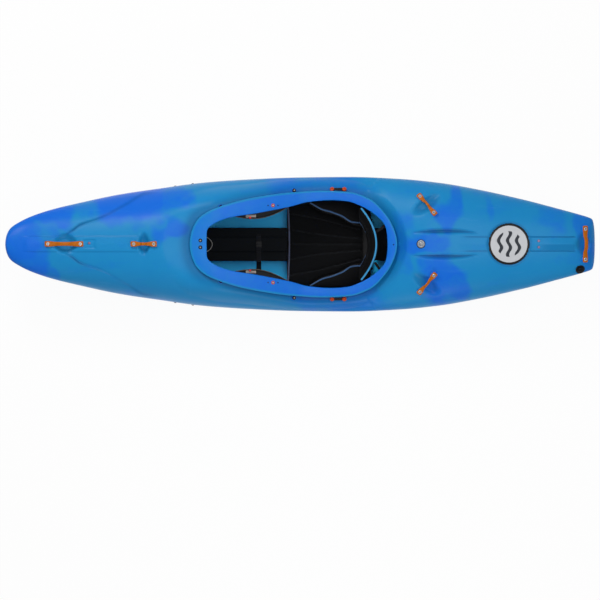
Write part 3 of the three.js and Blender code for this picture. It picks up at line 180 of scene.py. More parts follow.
DRAIN_FRAME = (
    (1306, -119, 303.09), (0.96739, 0.13907, -0.21171), (0, 0.83579, 0.54905), (0.25330, -0.53114, 0.80854),
)

# Fittings

HANDLES = ("bow_handle", "front_deck_handle", "rear_handle_starboard", "rear_handle_port", "stern_handle")
# Half widths of each handle at its middle and at its ends
HANDLE_WAISTS = {"bow_handle": 9, "front_deck_handle": 7, "stern_handle": 8.5}
HANDLE_ENDS = {"bow_handle": 12.8, "front_deck_handle": 12.8, "stern_handle": 12.2}
REAR_HANDLE_WAIST = 5.6
REAR_HANDLE_END = 12
HANDLE = {"thickness": 6.5, "crown": 2, "rise": 13, "end_reach": 14.5, "foot": 22, "arch_share": 1.5, "corner": 5}
BOSS_RISE = 6
BOSS_RADIUS = 15
SIDES = (("starboard", 1), ("port", -1))
WASHER_LIFT = 1.1
RIM_BOLT_LIFT = 1.8
RIM_HOLE_LIFT = 1.9
# Small plugged holes in the rim: at its rear, and how far from each thigh bolt
REAR_RIM_HOLES = [(434.5, -3)]
THIGH_HOLE_REACH = 24
STUD_TAPER = 0.8
STUD_ANGLE = 30
STITCH = {"spacing": 5.5, "length": 3.4, "edge_angle": 40}
# Turned outlines, as (radius, height)
HIP_CAP_RADIUS = 10
HIP_CAP_OUTLINE = [
    (0, -9), (9.6, -9), (10, -8), (10, 3), (9.4, 4.6), (7, 5.6), (3.2, 5.9), (2.9, 4.8), (0, 4.6),
]
DRAIN_SIDES = 48
DRAIN_CUP_OUTLINE = [
    (10.8, -14), (17, -14), (17, -2.6), (22, -2.6), (22, 0), (21, 0.9), (18, 1.2), (16.2, 0.3), (14.8, 0.2),
    (11.4, 0.2), (10.8, -0.6),
]
DRAIN_PLUG_OUTLINE = [
    (0, -11.5), (9.8, -11.5), (10.6, -10.6), (10.6, 2.9), (13, 2.9), (13, 7.6), (12.2, 8.6), (0, 8.8),
]
BADGE_OUTLINE = [
    (0, -2), (18.2, -2), (18.2, 0.8), (17.6, 1.1), (16.8, 1.5), (11, 2.3), (10.4, 1.9), (9.8, 2.4), (2.2, 2.7),
    (2, 1.6), (0, 1.5),
]
BADGE_RING_OUTLINE = [(18.4, -1.5), (21, -1.5), (21, 0.6), (20.2, 1.4), (18.4, 1.4)]
ROUNDEL_RISE = 0.5
ROUNDEL_THICKNESS = 0.8


# Curves and grids

def round_param(share):
    return np.arccos(1 - 2 * np.clip(share, 0, 1)) / math.pi


def curve_through(table):
    """A monotone curve through (share, value) points that closes round at both ends."""
    rows = np.array(table, float)
    at = round_param(rows[:, 0])
    value = rows[:, 1]
    rise = np.diff(value) / np.diff(at)
    slope = np.concatenate([rise[:1], rise])
    both = rise[:-1] * rise[1:]
    total = np.where(both > 0, rise[:-1] + rise[1:], 1)
    slope[1:-1] = np.where(both > 0, 2 * both / total, 0)

    def curve(share):
        t = round_param(np.asarray(share, float))
        i = np.clip(np.searchsorted(at, t, side="left") - 1, 0, len(at) - 2)
        span = at[i + 1] - at[i]
        u = (t - at[i]) / span
        ends = (2 * u**3 - 3 * u**2 + 1) * value[i] + (3 * u**2 - 2 * u**3) * value[i + 1]
        return ends + span * ((u**3 - 2 * u**2 + u) * slope[i] + (u**3 - u**2) * slope[i + 1])

    return curve


def lerp(a, b, share):
    return a + (b - a) * share


def smooth_step(value):
    t = np.clip(value, 0, 1)
    return t * t * (3 - 2 * t)


def bell(value, width):
    """1 at zero, falling softly to nothing on both sides."""
    return np.exp(-((value / width) ** 2))


def waves(x, y, size, seed, count=7):
    """Smooth wandering value about zero, with features of roughly that size."""
    rng = np.random.default_rng(seed)
    total = np.zeros(np.broadcast(x, y).shape)
    for _ in range(count):
        turn = rng.uniform(0, 2 * math.pi)
        pitch = size * rng.uniform(0.6, 1.7)
        phase = rng.uniform(0, 2 * math.pi)
        total += np.sin((x * math.cos(turn) + y * math.sin(turn)) * 2 * math.pi / pitch + phase)
    return total / math.sqrt(count)


def grid_faces(rows, columns, start=0, wrap_rows=False, wrap_columns=False, flip=False):
    """Quads over a grid of points stored row by row."""
    i = np.arange(rows if wrap_rows else rows - 1)
    j = np.arange(columns if wrap_columns else columns - 1)
    i, j = (part.ravel() for part in np.meshgrid(i, j, indexing="ij"))
    i2, j2 = (i + 1) % rows, (j + 1) % columns
    quads = np.stack([i * columns + j, i * columns + j2, i2 * columns + j2, i2 * columns + j], axis=1)
    if flip:
        quads = quads[:, ::-1]
    return quads + start


def merged(parts):
    """Points and faces of several (points, faces) parts as one."""
    points, faces, start = [], [], 0
    for part_points, part_faces in parts:
        flat = np.asarray(part_points, float).reshape(-1, 3)
        points.append(flat)
        faces.extend([int(k) + start for k in face] for face in part_faces)
        start += len(flat)
    return np.concatenate(points), faces


def finish_mesh(built, mesh, weld):
    """Writes an edited form to its mesh, with doubles merged, no loose edges, faces outwards and all smooth."""
    bmesh.ops.remove_doubles(built, verts=built.verts, dist=weld)
    loose = [edge for edge in built.edges if not edge.link_faces]
    bmesh.ops.delete(built, geom=loose, context="EDGES")
    bmesh.ops.recalc_face_normals(built, faces=built.faces)
    built.to_mesh(mesh)
    built.free()
    mesh.validate()
    mesh.polygons.foreach_set("use_smooth", [True] * len(mesh.polygons))
    return mesh


def mesh_from(name, points, faces, weld=1e-6):
    """A mesh in metres from points in millimetres."""
    mesh = bpy.data.meshes.new(name)
    mesh.from_pydata((np.asarray(points) * MM).tolist(), [], [list(f) for f in faces])
    built = bmesh.new()
    built.from_mesh(mesh)
    return finish_mesh(built, mesh, weld)


def add_piece(name, mesh, finish, body="hull", replaces=(), edge_angle=None):
    """Links a mesh as a piece in one of the finishes, riding on a body."""
    slot, material = finish_of(finish)
    piece = bpy.data.objects.new(name, mesh)
    bpy.context.scene.collection.objects.link(piece)
    mesh.materials.append(material)
    if edge_angle is not None:
        mesh.set_sharp_from_angle(angle=math.radians(edge_angle))
    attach(piece, body)
    if replaces:
        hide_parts(*replaces)
    return piece


def add_form(name, form, finish, body="hull", replaces=(), edge_angle=None):
    """As add_piece, from the points and faces of a form."""
    return add_piece(name, mesh_from(name, *form), finish, body, replaces, edge_angle)


def closed_sheet(face, back, rows, columns):
    """Points and faces of a closed sheet between two surfaces over the same unit grid."""
    u, v = np.meshgrid(np.linspace(0, 1, rows), np.linspace(0, 1, columns), indexing="ij")
    front, rear = (np.stack(np.broadcast_arrays(*side(u, v)), axis=-1) for side in (face, back))
    ring = [(i, 0) for i in range(rows)] + [(rows - 1, j) for j in range(1, columns)]
    ring += [(i, columns - 1) for i in range(rows - 2, -1, -1)] + [(0, j) for j in range(columns - 2, 0, -1)]
    edge = np.array([i * columns + j for i, j in ring])
    shift = rows * columns
    following = np.roll(edge, -1)
    walls = np.stack([edge, edge + shift, following + shift, following], axis=1)
    faces = [grid_faces(rows, columns), grid_faces(rows, columns, shift, flip=True), walls]
    points = np.concatenate([front.reshape(-1, 3), rear.reshape(-1, 3)])
    return points, np.concatenate(faces)


def capped(rings):
    """Points and faces of a solid through rings of points, closed flat at both ends."""
    rows, count = rings.shape[:2]
    faces = grid_faces(rows, count, wrap_columns=True).tolist()
    faces += [list(range(count)), list(range((rows - 1) * count, rows * count))[::-1]]
    return rings.reshape(-1, 3), faces


def fanned(rings, first, last):
    """As capped, with a fan to one point at each end."""
    rows, count = rings.shape[:2]
    points = np.concatenate([rings.reshape(-1, 3), [first, last]])
    faces = grid_faces(rows, count, wrap_columns=True).tolist()
    end = (rows - 1) * count
    for k in range(count):
        following = (k + 1) % count
        faces.append([rows * count, following, k])
        faces.append([rows * count + 1, end + k, end + following])
    return points, faces


def tube(path, radius, sides=12):
    """Points and faces of a round tube along a path, with flat ends."""
    along = np.gradient(path, axis=0)
    along /= np.linalg.norm(along, axis=1)[:, None]
    across = np.cross(along[0], [0, 0, 1])
    frames = []
    for direction in along:
        across = across - direction * across.dot(direction)
        across /= np.linalg.norm(across)
        frames.append((across, np.cross(direction, across)))
    turn = np.linspace(0, 2 * math.pi, sides, endpoint=False)
    return capped(np.array([
        point + radius * (np.outer(np.cos(turn), a) + np.outer(np.sin(turn), b))
        for point, (a, b) in zip(path, frames)
    ]))


def ribbon(path, across, half_width, thickness, columns=7):
    """Points and faces of a flat strap along a path, rounded at its selvedges."""
    across = np.broadcast_to(np.asarray(across, float), path.shape)
    across = across / np.linalg.norm(across, axis=1)[:, None]
    up = np.cross(np.gradient(path, axis=0), across)
    up /= np.linalg.norm(up, axis=1)[:, None]
    turn = np.linspace(-1, 1, columns)
    full = np.sqrt(1 - 0.75 * np.abs(turn) ** 6)
    top = [(t * half_width, thickness / 2 * f) for t, f in zip(turn, full)]
    outline = np.array(top + [(y, -z) for y, z in reversed(top)])
    return capped(path[:, None] + across[:, None] * outline[None, :, :1] + up[:, None] * outline[None, :, 1:])


def rounded(points, steps=40):
    """A smooth path of evenly spaced points through given ones."""
    points = np.asarray(points, float)
    padded = np.concatenate([2 * points[:1] - points[1:2], points, 2 * points[-1:] - points[-2:-1]])
    path = []
    for k in range(len(points) - 1):
        a, b, c, d = padded[k : k + 4]
        for t in np.linspace(0, 1, 12, endpoint=False):
            path.append(0.5 * (2 * b + (c - a) * t + (2 * a - 5 * b + 4 * c - d) * t**2
                               + (3 * b - a - 3 * c + d) * t**3))
    path.append(points[-1])
    path = np.array(path)
    travel = np.concatenate([[0], np.cumsum(np.linalg.norm(np.diff(path, axis=0), axis=1))])
    at = np.linspace(0, travel[-1], steps)
    return np.stack([np.interp(at, travel, path[:, k]) for k in range(3)], axis=1)


def box_form(low, high, bevel):
    """Points and faces of a box with rounded edges."""
    built = bmesh.new()
    bmesh.ops.create_cube(built, size=1)
    low, high = np.array(low, float), np.array(high, float)
    for vert in built.verts:
        vert.co = Vector((low + high) / 2 + np.array(vert.co) * (high - low))
    bmesh.ops.bevel(built, geom=list(built.edges), offset=bevel, segments=3, profile=0.5, affect="EDGES")
    points = np.array([vert.co for vert in built.verts])
    faces = [[vert.index for vert in face.verts] for face in built.faces]
    built.free()
    return points, faces


def lathe(outline, sides, closed=False):
    """Points and faces turned about Z from a [radius, height] outline off the axis, or from a closed one."""
    turn = np.linspace(0, 2 * math.pi, sides, endpoint=False)
    rings = np.array([[(r * math.cos(t), r * math.sin(t), z) for t in turn] for r, z in outline])
    return rings.reshape(-1, 3), grid_faces(len(outline), sides, wrap_rows=closed, wrap_columns=True).tolist()


def turned_form(outline, sides):
    """As lathe, for an outline that starts and ends on the axis."""
    points, _ = lathe(outline[1:-1], sides)
    return fanned(points.reshape(-1, sides, 3), (0, 0, outline[0][1]), (0, 0, outline[-1][1]))


def placed(form, frame_at):
    """Points of a form moved into a frame of origin and three unit axes."""
    origin, along, across, up = (np.asarray(part, float) for part in frame_at)
    points, faces = form
    return origin + points[:, :1] * along + points[:, 1:2] * across + points[:, 2:] * up, faces


# Hull form

class HullForm:
    """The moulded shell's lines and surfaces in millimetres; x runs aft and y to starboard."""

    def __init__(self, length, beam, height):
        self.length = length
        self.beam = beam
        self.height = height
        self.plan = curve_through(PLAN_SHARES)
        self.keel_line = curve_through(KEEL_SHARES)
        self.gunwale_line = curve_through(GUNWALE_SHARES)
        self.deck_line = curve_through(DECK_SHARES)
        self.hull_power = curve_through(HULL_POWER_SHARES)
        self.deck_power = curve_through(DECK_POWER_SHARES)
        self.flat = curve_through(FLAT_SHARES)
        self.nose_line = curve_through(NOSE_STEP_SHARES)
        self.rim_line = curve_through(RIM_SHARES)
        self.opening_line = curve_through(OPENING_SHARES)
        self.rim_height_line = curve_through(RIM_HEIGHT_SHARES)
        self.trough = curve_through(TROUGH_SHARES)
        self.lip_path = self.rim_edge(np.linspace(0, 1, 161))[0]

    def share(self, x):
        return np.clip((x + self.length / 2) / self.length, 0, 1)

    def half_beam(self, x):
        return self.plan(self.share(x)) * self.beam / 2

    def keel(self, x):
        return self.keel_line(self.share(x)) * self.height

    def gunwale(self, x):
        return self.gunwale_line(self.share(x)) * self.height

    def rim_edge(self, angle_share):
        """Lip and opening edge, as (x, y) places, round from the front on the starboard side."""
        along = (1 - np.cos(math.pi * np.asarray(angle_share, float))) / 2
        lip = np.stack([RIM_FRONT + along * RIM_LENGTH, self.rim_line(along) * RIM_WIDTH / 2], axis=-1)
        edge = np.stack([OPENING_FRONT + along * OPENING_LENGTH, self.opening_line(along) * OPENING_WIDTH / 2], axis=-1)
        return lip, edge

    def rim_top(self, x):
        return self.rim_height_line((x - RIM_FRONT) / RIM_LENGTH) * self.height

    def opening_half(self, x):
        return self.opening_line((x - OPENING_FRONT) / OPENING_LENGTH) * OPENING_WIDTH / 2

    def lip_half(self, x):
        return self.rim_line((x - RIM_FRONT) / RIM_LENGTH) * RIM_WIDTH / 2

    def lip_distance(self, x, y):
        """How far places lie from the line of the rim's lip, on either side of it."""
        x, y = np.broadcast_arrays(np.asarray(x, float), np.abs(np.asarray(y, float)))
        nearest = np.full(x.shape, 1e9)
        for a, b in zip(self.lip_path, self.lip_path[1:]):
            side = b - a
            t = np.clip(((x - a[0]) * side[0] + (y - a[1]) * side[1]) / side.dot(side), 0, 1)
            nearest = np.minimum(nearest, np.hypot(x - a[0] - t * side[0], y - a[1] - t * side[1]))
        return nearest

    def distance_to_lip(self, x, y):
        """How far places on the deck lie outside the rim's lip."""
        along = (x - RIM_FRONT) / RIM_LENGTH
        inside = (along > 0) & (along < 1) & (np.abs(y) < self.rim_line(along) * RIM_WIDTH / 2)
        return np.where(inside, 0, self.lip_distance(x, y))

    def plain_deck(self, x, y):
        across = np.minimum(np.abs(y) / np.maximum(self.half_beam(x), 1e-6), 1)
        power = self.deck_power(self.share(x))
        rise = (1 - across**power) ** (1 / power)
        return lerp(self.gunwale(x), self.deck_line(self.share(x)) * self.height, rise)

    def relief(self, x, y):
        """What is pressed into the deck, or raised on it."""
        side = np.abs(y)
        z = -hollow(BOW_SCOOP, x, y) - hollow(FRONT_RECESS, x, y) - hollow(STERN_RECESS, x, y)
        z = z - hollow(REAR_RECESS, x, side) - hollow(DRAIN_RECESS, x, y)
        dish = np.hypot(x - NUMBER_DISH["x"], y)
        z = z - NUMBER_DISH["depth"] * smooth_step((NUMBER_DISH["radius"] - dish) / NUMBER_DISH["soft"])
        z = z + self.nose_relief(x, side) + self.rear_relief(x, y)
        strip = band(x, side, BOW_STRIP["front"], BOW_STRIP["rear"], BOW_STRIP["half_width"], BOW_STRIP["soft"])
        crown = BOW_STRIP["crown"] * np.maximum(1 - side / BOW_STRIP["half_width"], 0)
        return z + (BOW_STRIP["rise"] + crown) * strip - BOW_POCKET["depth"] * self.pocket_share(x, side)

    def nose_relief(self, x, side):
        """The step beside the raised nose, and the shoulders behind it."""
        step = NOSE_STEP
        line = self.nose_line(self.share(x)) * self.half_beam(x)
        fade = self.nose_fade(x)
        soft = step["soft"] * (1 + smooth_step((x - step["soft_from"]) / step["soft_over"]))
        z = -step["depth"] * fade * smooth_step((line - side) / soft)
        z = z - step["groove"] * fade * bell(side - line - step["groove_out"], step["groove_width"])
        ridge = np.where(side < SHOULDER["y"], (side / SHOULDER["y"]) ** 2,
                         1 - smooth_step((side - SHOULDER["y"]) / SHOULDER["fall"]))
        ends = smooth_step((x - SHOULDER["front"]) / SHOULDER["soft"])
        ends = ends * smooth_step((SHOULDER["rear"] - x) / SHOULDER["soft"])
        return z + SHOULDER["height"] * ridge * ends

    def pocket_share(self, x, side):
        """Whether places lie in the flat pocket behind the bow handle."""
        pocket = BOW_POCKET
        return band(x, side, pocket["front"], pocket["rear"], pocket["half_width"], pocket["soft"])

    def nose_fade(self, x):
        start = smooth_step((x - BOW_SCOOP["x"] + 20) / 70)
        return start * smooth_step((NOSE_STEP["end"] - x) / NOSE_STEP["fade"])

    def groove_share(self, x, side):
        """How deep a place lies in the rear deck's grooves, as a share of their depth."""
        groove = REAR_GROOVE
        length = groove["rear"] - groove["front"]
        lens = np.sin(math.pi * np.clip((x - groove["front"]) / length, 0, 1)) ** 0.6
        across = (side - groove["y"]) / groove["width"] / np.maximum(lens, 0.05)
        return lens * smooth_step(across / 0.16) * (1 - smooth_step((across - 0.3) / 0.7))

    def crease(self, x, y):
        """How much painted shade darkens places in the deck's grooves, hollows and rim trough, along its strips' edges
        and on the stern strip's port half, from 0 to 1.
        """
        side = np.abs(y)
        line = self.nose_line(self.share(x)) * self.half_beam(x)
        weight = lerp(*NOSE_STEP["shade_weights"], smooth_step((x - NOSE_STEP["shade_from"]) / NOSE_STEP["shade_over"]))
        deep = np.maximum(weight * self.nose_fade(x) * bell(side - line + 3, 8), self.groove_share(x, side))
        for shape, at in ((BOW_SCOOP, y), (FRONT_RECESS, y), (STERN_RECESS, y), (REAR_RECESS, side)):
            deep = np.maximum(deep, shape["crease"] * hollow(shape, x, at) / shape["depth"])
        for strip in (BOW_STRIP, STERN_STRIP):
            ends = smooth_step((x - strip["front"]) / 60) * smooth_step((strip["rear"] - x) / 8)
            deep = np.maximum(deep, strip["crease"] * ends * bell(side - strip["half_width"], 3.2))
        dish = np.hypot(x - NUMBER_DISH["x"], y) - NUMBER_DISH["radius"]
        edge = NUMBER_DISH["crease"] * bell(np.maximum(dish, 0), NUMBER_DISH["soft"])
        deep = np.where(dish < 0, edge, np.maximum(deep, edge))
        low = STERN_SHADE
        shade_at = band(x, np.abs(y - low["y"]), low["front"], STERN_STRIP["rear"], low["half_width"], low["soft"])
        lip = self.distance_to_lip(x, y)
        rim, ahead = RIM_PAINTED_SHADE, RIM_FRONT_PAINTED_SHADE
        front = (1 - smooth_step((x - ahead["from"]) / ahead["over"])) * bell(lip - ahead["out"], ahead["reach"])
        return np.maximum.reduce([
            deep, low["crease"] * shade_at, ahead["crease"] * front, rim["crease"] * bell(lip, rim["reach"]),
        ])

    def rear_relief(self, x, y):
        """The rear deck's grooves, the sunk strip towards the stern, and the low shoulders beside the cockpit."""
        side = np.abs(y)
        z = -REAR_GROOVE["depth"] * self.groove_share(x, side)
        strip = STERN_STRIP
        deep = strip["depth"] * lerp(0.35, 1, smooth_step((x - NUMBER_DISH["x"]) / 90))
        crown = strip["crown"] + strip["end_crown"] * smooth_step((x - strip["end_from"]) / strip["end_over"])
        deep = deep - crown * np.maximum(1 - side / strip["half_width"], 0)
        deep = deep * smooth_step((np.hypot(x - NUMBER_DISH["x"], y) - NUMBER_DISH["radius"]) / 4)
        z = z - deep * band(x, side, strip["front"], strip["rear"], strip["half_width"], strip["soft"])
        low = REAR_SHOULDER
        outward = smooth_step((side - low["bend"]) / (low["outer"] - low["bend"]))
        end = lerp(low["inner_end"], low["outer_end"], outward)
        ahead = smooth_step((end - x) / low["end_over"]) * smooth_step((x - low["front"]) / low["front_over"])
        return z - low["drop"] * ahead * smooth_step((side - low["inner"]) / low["inner_over"])

    def deck_shift(self, x, y, base):
        """How far the reliefs and the rim's trough move the deck from its plain curve."""
        fade = smooth_step((self.half_beam(x) - np.abs(y)) / BOSS_RADIUS)
        pressed = base + self.relief(x, y) * fade
        at = np.clip(x, RIM_FRONT, RIM_FRONT + RIM_LENGTH)
        width = TROUGH_WIDTH * self.trough((at - RIM_FRONT) / RIM_LENGTH)
        t = np.clip(self.distance_to_lip(x, y) / width, 0, 1)
        near = lerp(np.cos(t * math.pi / 2), 1 - smooth_step(t), 1 / 3)
        beside = np.sin(math.pi * (at - RIM_FRONT) / RIM_LENGTH)
        foot = self.rim_top(at) - lerp(RIM_STAND_END, RIM_STAND_SIDE, beside)
        return lerp(pressed, foot, near * fade) - base

    def deck(self, x, y):
        base = self.plain_deck(x, y)
        return base + self.deck_shift(x, y, base)

    def hull_side(self, x, z):
        """Half width of the hull at a height below the gunwale."""
        half, low = self.half_beam(x), self.keel(x)
        up = np.clip((z - low) / np.maximum(self.gunwale(x) - low, 1e-9), 0, 1)
        power = 2 / self.hull_power(self.share(x))
        sine = np.sqrt(1 - (1 - up) ** (2 / power))
        return lerp(self.flat(self.share(x)) * half, half, sine**power)


def hollow(shape, x, y):
    """A rounded hollow with a flat bottom and steep walls."""
    c, s = math.cos(shape["turn"]), math.sin(shape["turn"])
    dx, dy = x - shape["x"], y - shape["y"]
    along = (dx * c + dy * s) / shape["half_length"]
    across = (dy * c - dx * s) / shape["half_width"]
    return shape["depth"] * smooth_step((1 - np.hypot(along, across)) / 0.62)


def band(x, side, front, rear, half_width, soft):
    """How far places lie inside a strip with soft edges, from 0 to 1."""
    ends = smooth_step((x - front) / soft / 3) * smooth_step((rear - x) / soft / 3)
    return ends * smooth_step((half_width - side) / soft + 0.5)


FORM = HullForm(LENGTH, FULL_BEAM, BOW_HEIGHT)


# Hull mesh

SIDE_COLUMNS = 18
FLAT_COLUMNS = 4
EDGE_COLUMNS = 14
DECK_COLUMNS = 44
STATION_STEP = 6.4
# The coarser inner skin: its columns, the step of its stations, and how far its ends lie in from the tips
INNER_COLUMNS = {"flat": 2, "side": 10, "edge": 6, "deck": 12}
INNER_STEP = 22
INNER_BOW = 42
INNER_STERN = 34
INNER_DROP = 3.5
# Where the deck's columns start to crowd towards the gunwale, and how
EDGE_FROM = 0.8
EDGE_POWER = 1.15
TIP_REACH = 0.06 * LENGTH
TIP_STATIONS = 24
FOOT_IN = RIM_LIP - COAMING_FILLET
WALL_IN = RIM_LIP + COAMING_WALL
RIM_SAMPLES = np.linspace(0, 1, 141)


def tip_stations(front, rear, step, tips):
    """Places between two ends, closer together at the ends that are tips of the hull."""
    close = TIP_REACH * (1 - np.cos(np.linspace(0, math.pi / 2, TIP_STATIONS)))
    first = front + (TIP_REACH if tips[0] else 0)
    last = rear - (TIP_REACH if tips[1] else 0)
    places = [np.linspace(first, last, max(int((last - first) / step), 2))]
    if tips[0]:
        places.insert(0, front + close[:-1])
    if tips[1]:
        places.append(rear - close[-2::-1])
    return np.concatenate(places)


def deck_shares(edge_columns, deck_columns):
    """Where the deck's columns lie between the rim or middle, 0, and the gunwale, 1."""
    turn = np.linspace(0, math.acos(EDGE_FROM**EDGE_POWER), edge_columns + 1)
    edge = np.cos(turn) ** (1 / EDGE_POWER)
    return np.concatenate([edge, np.linspace(EDGE_FROM, 0, deck_columns + 1)[1:]])


def rim_place(share, inward):
    """A place across the rim's band, given how far it lies in from the lip."""
    lip, edge = FORM.rim_edge(share)
    width = np.linalg.norm(edge - lip, axis=-1)
    at = lip + (edge - lip) * (np.asarray(inward) / width)[..., None]
    return at[..., 0], at[..., 1]


def skin_stations(inward, front, rear, step, tips):
    """Stations along the hull's side, and the place of the cockpit's hole that each row runs to."""
    hole_x, hole_y = rim_place(RIM_SAMPLES, inward)
    ahead = tip_stations(front, hole_x[0], step, (tips, False))
    behind = tip_stations(hole_x[-1], rear, step, (False, tips))
    hole_y[0] = hole_y[-1] = 0
    even = np.linspace(hole_x[0], hole_x[-1], len(hole_x))
    x = np.concatenate([ahead[:-1], even, behind[1:]])
    foot_x = np.concatenate([ahead[:-1], hole_x, behind[1:]])
    foot_y = np.concatenate([np.zeros(len(ahead) - 1), hole_y, np.zeros(len(behind) - 1)])
    return x, foot_x, foot_y


def half_skin(side, inset, x, foot_x, foot_y, columns):
    """One side of the hull's skin: over the bottom and the side, then across the deck to the hole."""
    flat_count, side_count, shares = columns
    share = FORM.share(x)[:, None]
    half = np.maximum(FORM.half_beam(x) - inset, 0)[:, None]
    low = FORM.keel(x)[:, None] + inset
    middle = FORM.gunwale(x)[:, None]
    flat = FORM.flat(share) * half
    bottom_y = flat * np.linspace(0, 1, flat_count + 1)[None, :-1]
    turn = np.linspace(0, math.pi / 2, side_count + 1)[None]
    power = 2 / FORM.hull_power(share)
    side_y = lerp(flat, half, np.sin(turn) ** power)
    side_z = lerp(np.minimum(low, middle), middle, 1 - np.cos(turn) ** power)
    deck_x = lerp(foot_x[:, None], x[:, None], shares[None, 1:])
    half = np.maximum(FORM.half_beam(deck_x) - inset, 0)
    deck_y = lerp(foot_y[:, None], half, shares[None, 1:])
    across = np.minimum(deck_y / np.maximum(half, 1e-6), 1)
    share, middle = FORM.share(deck_x), FORM.gunwale(deck_x)
    deck_power = FORM.deck_power(share)
    rise = (1 - across**deck_power) ** (1 / deck_power)
    base = lerp(middle, np.maximum(FORM.deck_line(share) * FORM.height - inset, middle), rise)
    deck_z = base + FORM.deck_shift(deck_x, side * deck_y, base)
    if inset:
        # Clear of the outer skin between its ends
        ends = smooth_step(shares[None, 1:] / 0.08) * smooth_step((1 - shares[None, 1:]) / 0.1)
        deck_z = deck_z - INNER_DROP * ends
    below_x = np.broadcast_to(x[:, None], (len(x), bottom_y.shape[1] + side_y.shape[1]))
    y = np.concatenate([bottom_y, side_y, deck_y], axis=1)
    z = np.concatenate([np.broadcast_to(low, bottom_y.shape), side_z, deck_z], axis=1)
    return np.stack([np.concatenate([below_x, deck_x], axis=1), side * y, z], axis=2)


def rim_profile(width):
    """Section of the coaming and rim from the deck outside to the hull's inner skin.

    Each entry is (how far in from the lip, what its height counts from, height)."""
    lip = RIM_FLANGE / 2
    turns = np.linspace(0, math.pi / 2, 6)
    outline = [(FOOT_IN + COAMING_FILLET * math.sin(t), "deck", COAMING_FILLET * (1 - math.cos(t))) for t in turns]
    outline += [(RIM_LIP, "top", -RIM_FLANGE - 2), (RIM_LIP - 0.6, "top", -RIM_FLANGE - 0.6)]
    outline += [(RIM_LIP - 2, "top", -RIM_FLANGE), (RIM_LIP / 2, "top", -RIM_FLANGE)]
    for turn in np.linspace(-math.pi / 2, math.pi / 2, 9):
        outline.append((lip - lip * math.cos(turn), "top", lip * math.sin(turn) - lip))
    corner = 4
    for share in np.linspace(0, 1, 8)[1:-1]:
        outline.append((lerp(lip, width - corner, share), "top", 1.6 * math.sin(math.pi * share)))
    for turn in np.linspace(0, math.pi / 2, 6):
        outline.append((width - corner + corner * math.sin(turn), "top", corner * (math.cos(turn) - 1)))
    outline += [(width, "top", -RIM_HEM + 1.5), (width - 1.5, "top", -RIM_HEM)]
    outline += [(width - COAMING_WALL, "top", -RIM_HEM), (width - COAMING_WALL, "top", -RIM_FLANGE)]
    outline += [(WALL_IN + 1, "top", -RIM_FLANGE), (WALL_IN, "top", -RIM_FLANGE - 2)]
    outline += [(WALL_IN, "between", 0.5), (WALL_IN, "inner", 0)]
    return outline


def rim_ring(side):
    """The rim's sections on one side, front to rear."""
    rings = []
    for share in RIM_SAMPLES:
        lip, edge = FORM.rim_edge(share)
        width = float(np.linalg.norm(edge - lip))
        ring = []
        for inward, datum, height in rim_profile(width):
            x, y = (lip + (edge - lip) * inward / width).tolist()
            y = 0.0 if share in (0, 1) else y
            top = float(FORM.rim_top(x))
            if datum == "top":
                z = top + height
            elif datum == "deck":
                z = float(FORM.deck(x, side * y)) + height
            else:
                low = float(FORM.deck(x, side * y)) - WALL
                z = low if datum == "inner" else lerp(low, top - RIM_FLANGE - 2, height)
            ring.append((x, side * y, z))
        rings.append(ring)
    return np.array(rings)


def hull_mesh():
    """The whole shell as one closed mesh: outer skin, rim and inner skin."""
    outer = skin_stations(FOOT_IN, BOW, STERN, STATION_STEP, True)
    outer_columns = (FLAT_COLUMNS, SIDE_COLUMNS, deck_shares(EDGE_COLUMNS, DECK_COLUMNS))
    inner_ends = (BOW + INNER_BOW, STERN - INNER_STERN)
    inner = skin_stations(WALL_IN, *inner_ends, INNER_STEP, False)
    counts = INNER_COLUMNS
    inner_columns = (counts["flat"], counts["side"], deck_shares(counts["edge"], counts["deck"]))
    parts = []
    for side in (1, -1):
        grid = half_skin(side, 0, *outer, outer_columns)
        parts.append((grid, grid_faces(*grid.shape[:2], flip=side < 0)))
        grid = half_skin(side, WALL, *inner, inner_columns)
        caps = [np.broadcast_to([end, 0, float(FORM.gunwale(end))], grid[:1].shape)
                for end in (inner_ends[0] - 1, inner_ends[1] + 1)]
        grid = np.concatenate([caps[0], grid, caps[1]])
        parts.append((grid, grid_faces(*grid.shape[:2], flip=side > 0)))
        ring = rim_ring(side)
        parts.append((ring, grid_faces(*ring.shape[:2], flip=side > 0)))
    return mesh_from("hull_skin", *merged(parts), weld=1e-5)


# Patches of deeper blue in the lighter shell, by their low and high X and Y, with their strength
DEEP_BLUES = [
    (-1400, -1190, -240, 240, 0.95), (-1230, -1010, 60, 220, 0.85), (-1010, -600, 92, 330, 1.0),
    # The patch ahead of the rim, from X -668 to -545, is partly swirl and partly painted shade where the deck drops
    # into the trough
    (-960, -640, -330, -215, 0.3), (-668, -545, 6, 136, 0.85), (-1230, -1100, -220, -90, 0.5),
    (-700, -520, 150, 250, 0.7), (-200, 330, 196, 330, 0.5), (-60, 400, -330, -205, 0.55),
    (640, 760, 40, 280, 0.75), (560, 760, -290, -55, 0.85), (480, 740, -52, 52, 0.8), (430, 520, -150, 150, 0.5),
    (1090, 1240, 60, 190, 0.4), (1290, 1400, -200, 200, 0.6), (840, 900, 120, 260, 0.35),
]
# How blue the rim is behind its front, where it is lighter, and where the change lies
RIM_BLUE = {"strength": 0.82, "front_share": 0.68, "from": -450, "over": 130}
# The hull's ends are bluer below the gunwale than its middle
SIDE_BLUE = {"strength": 0.72, "front": -640, "front_over": 240, "rear": 693, "rear_over": 60}


def patch(box, x, y):
    """How far places lie inside a rounded patch, from 0 to 1."""
    x0, x1, y0, y1 = box
    out = np.hypot((x - (x0 + x1) / 2) / (x1 - x0) * 2, (y - (y0 + y1) / 2) / (y1 - y0) * 2)
    return smooth_step((1.35 - out) / 0.7)


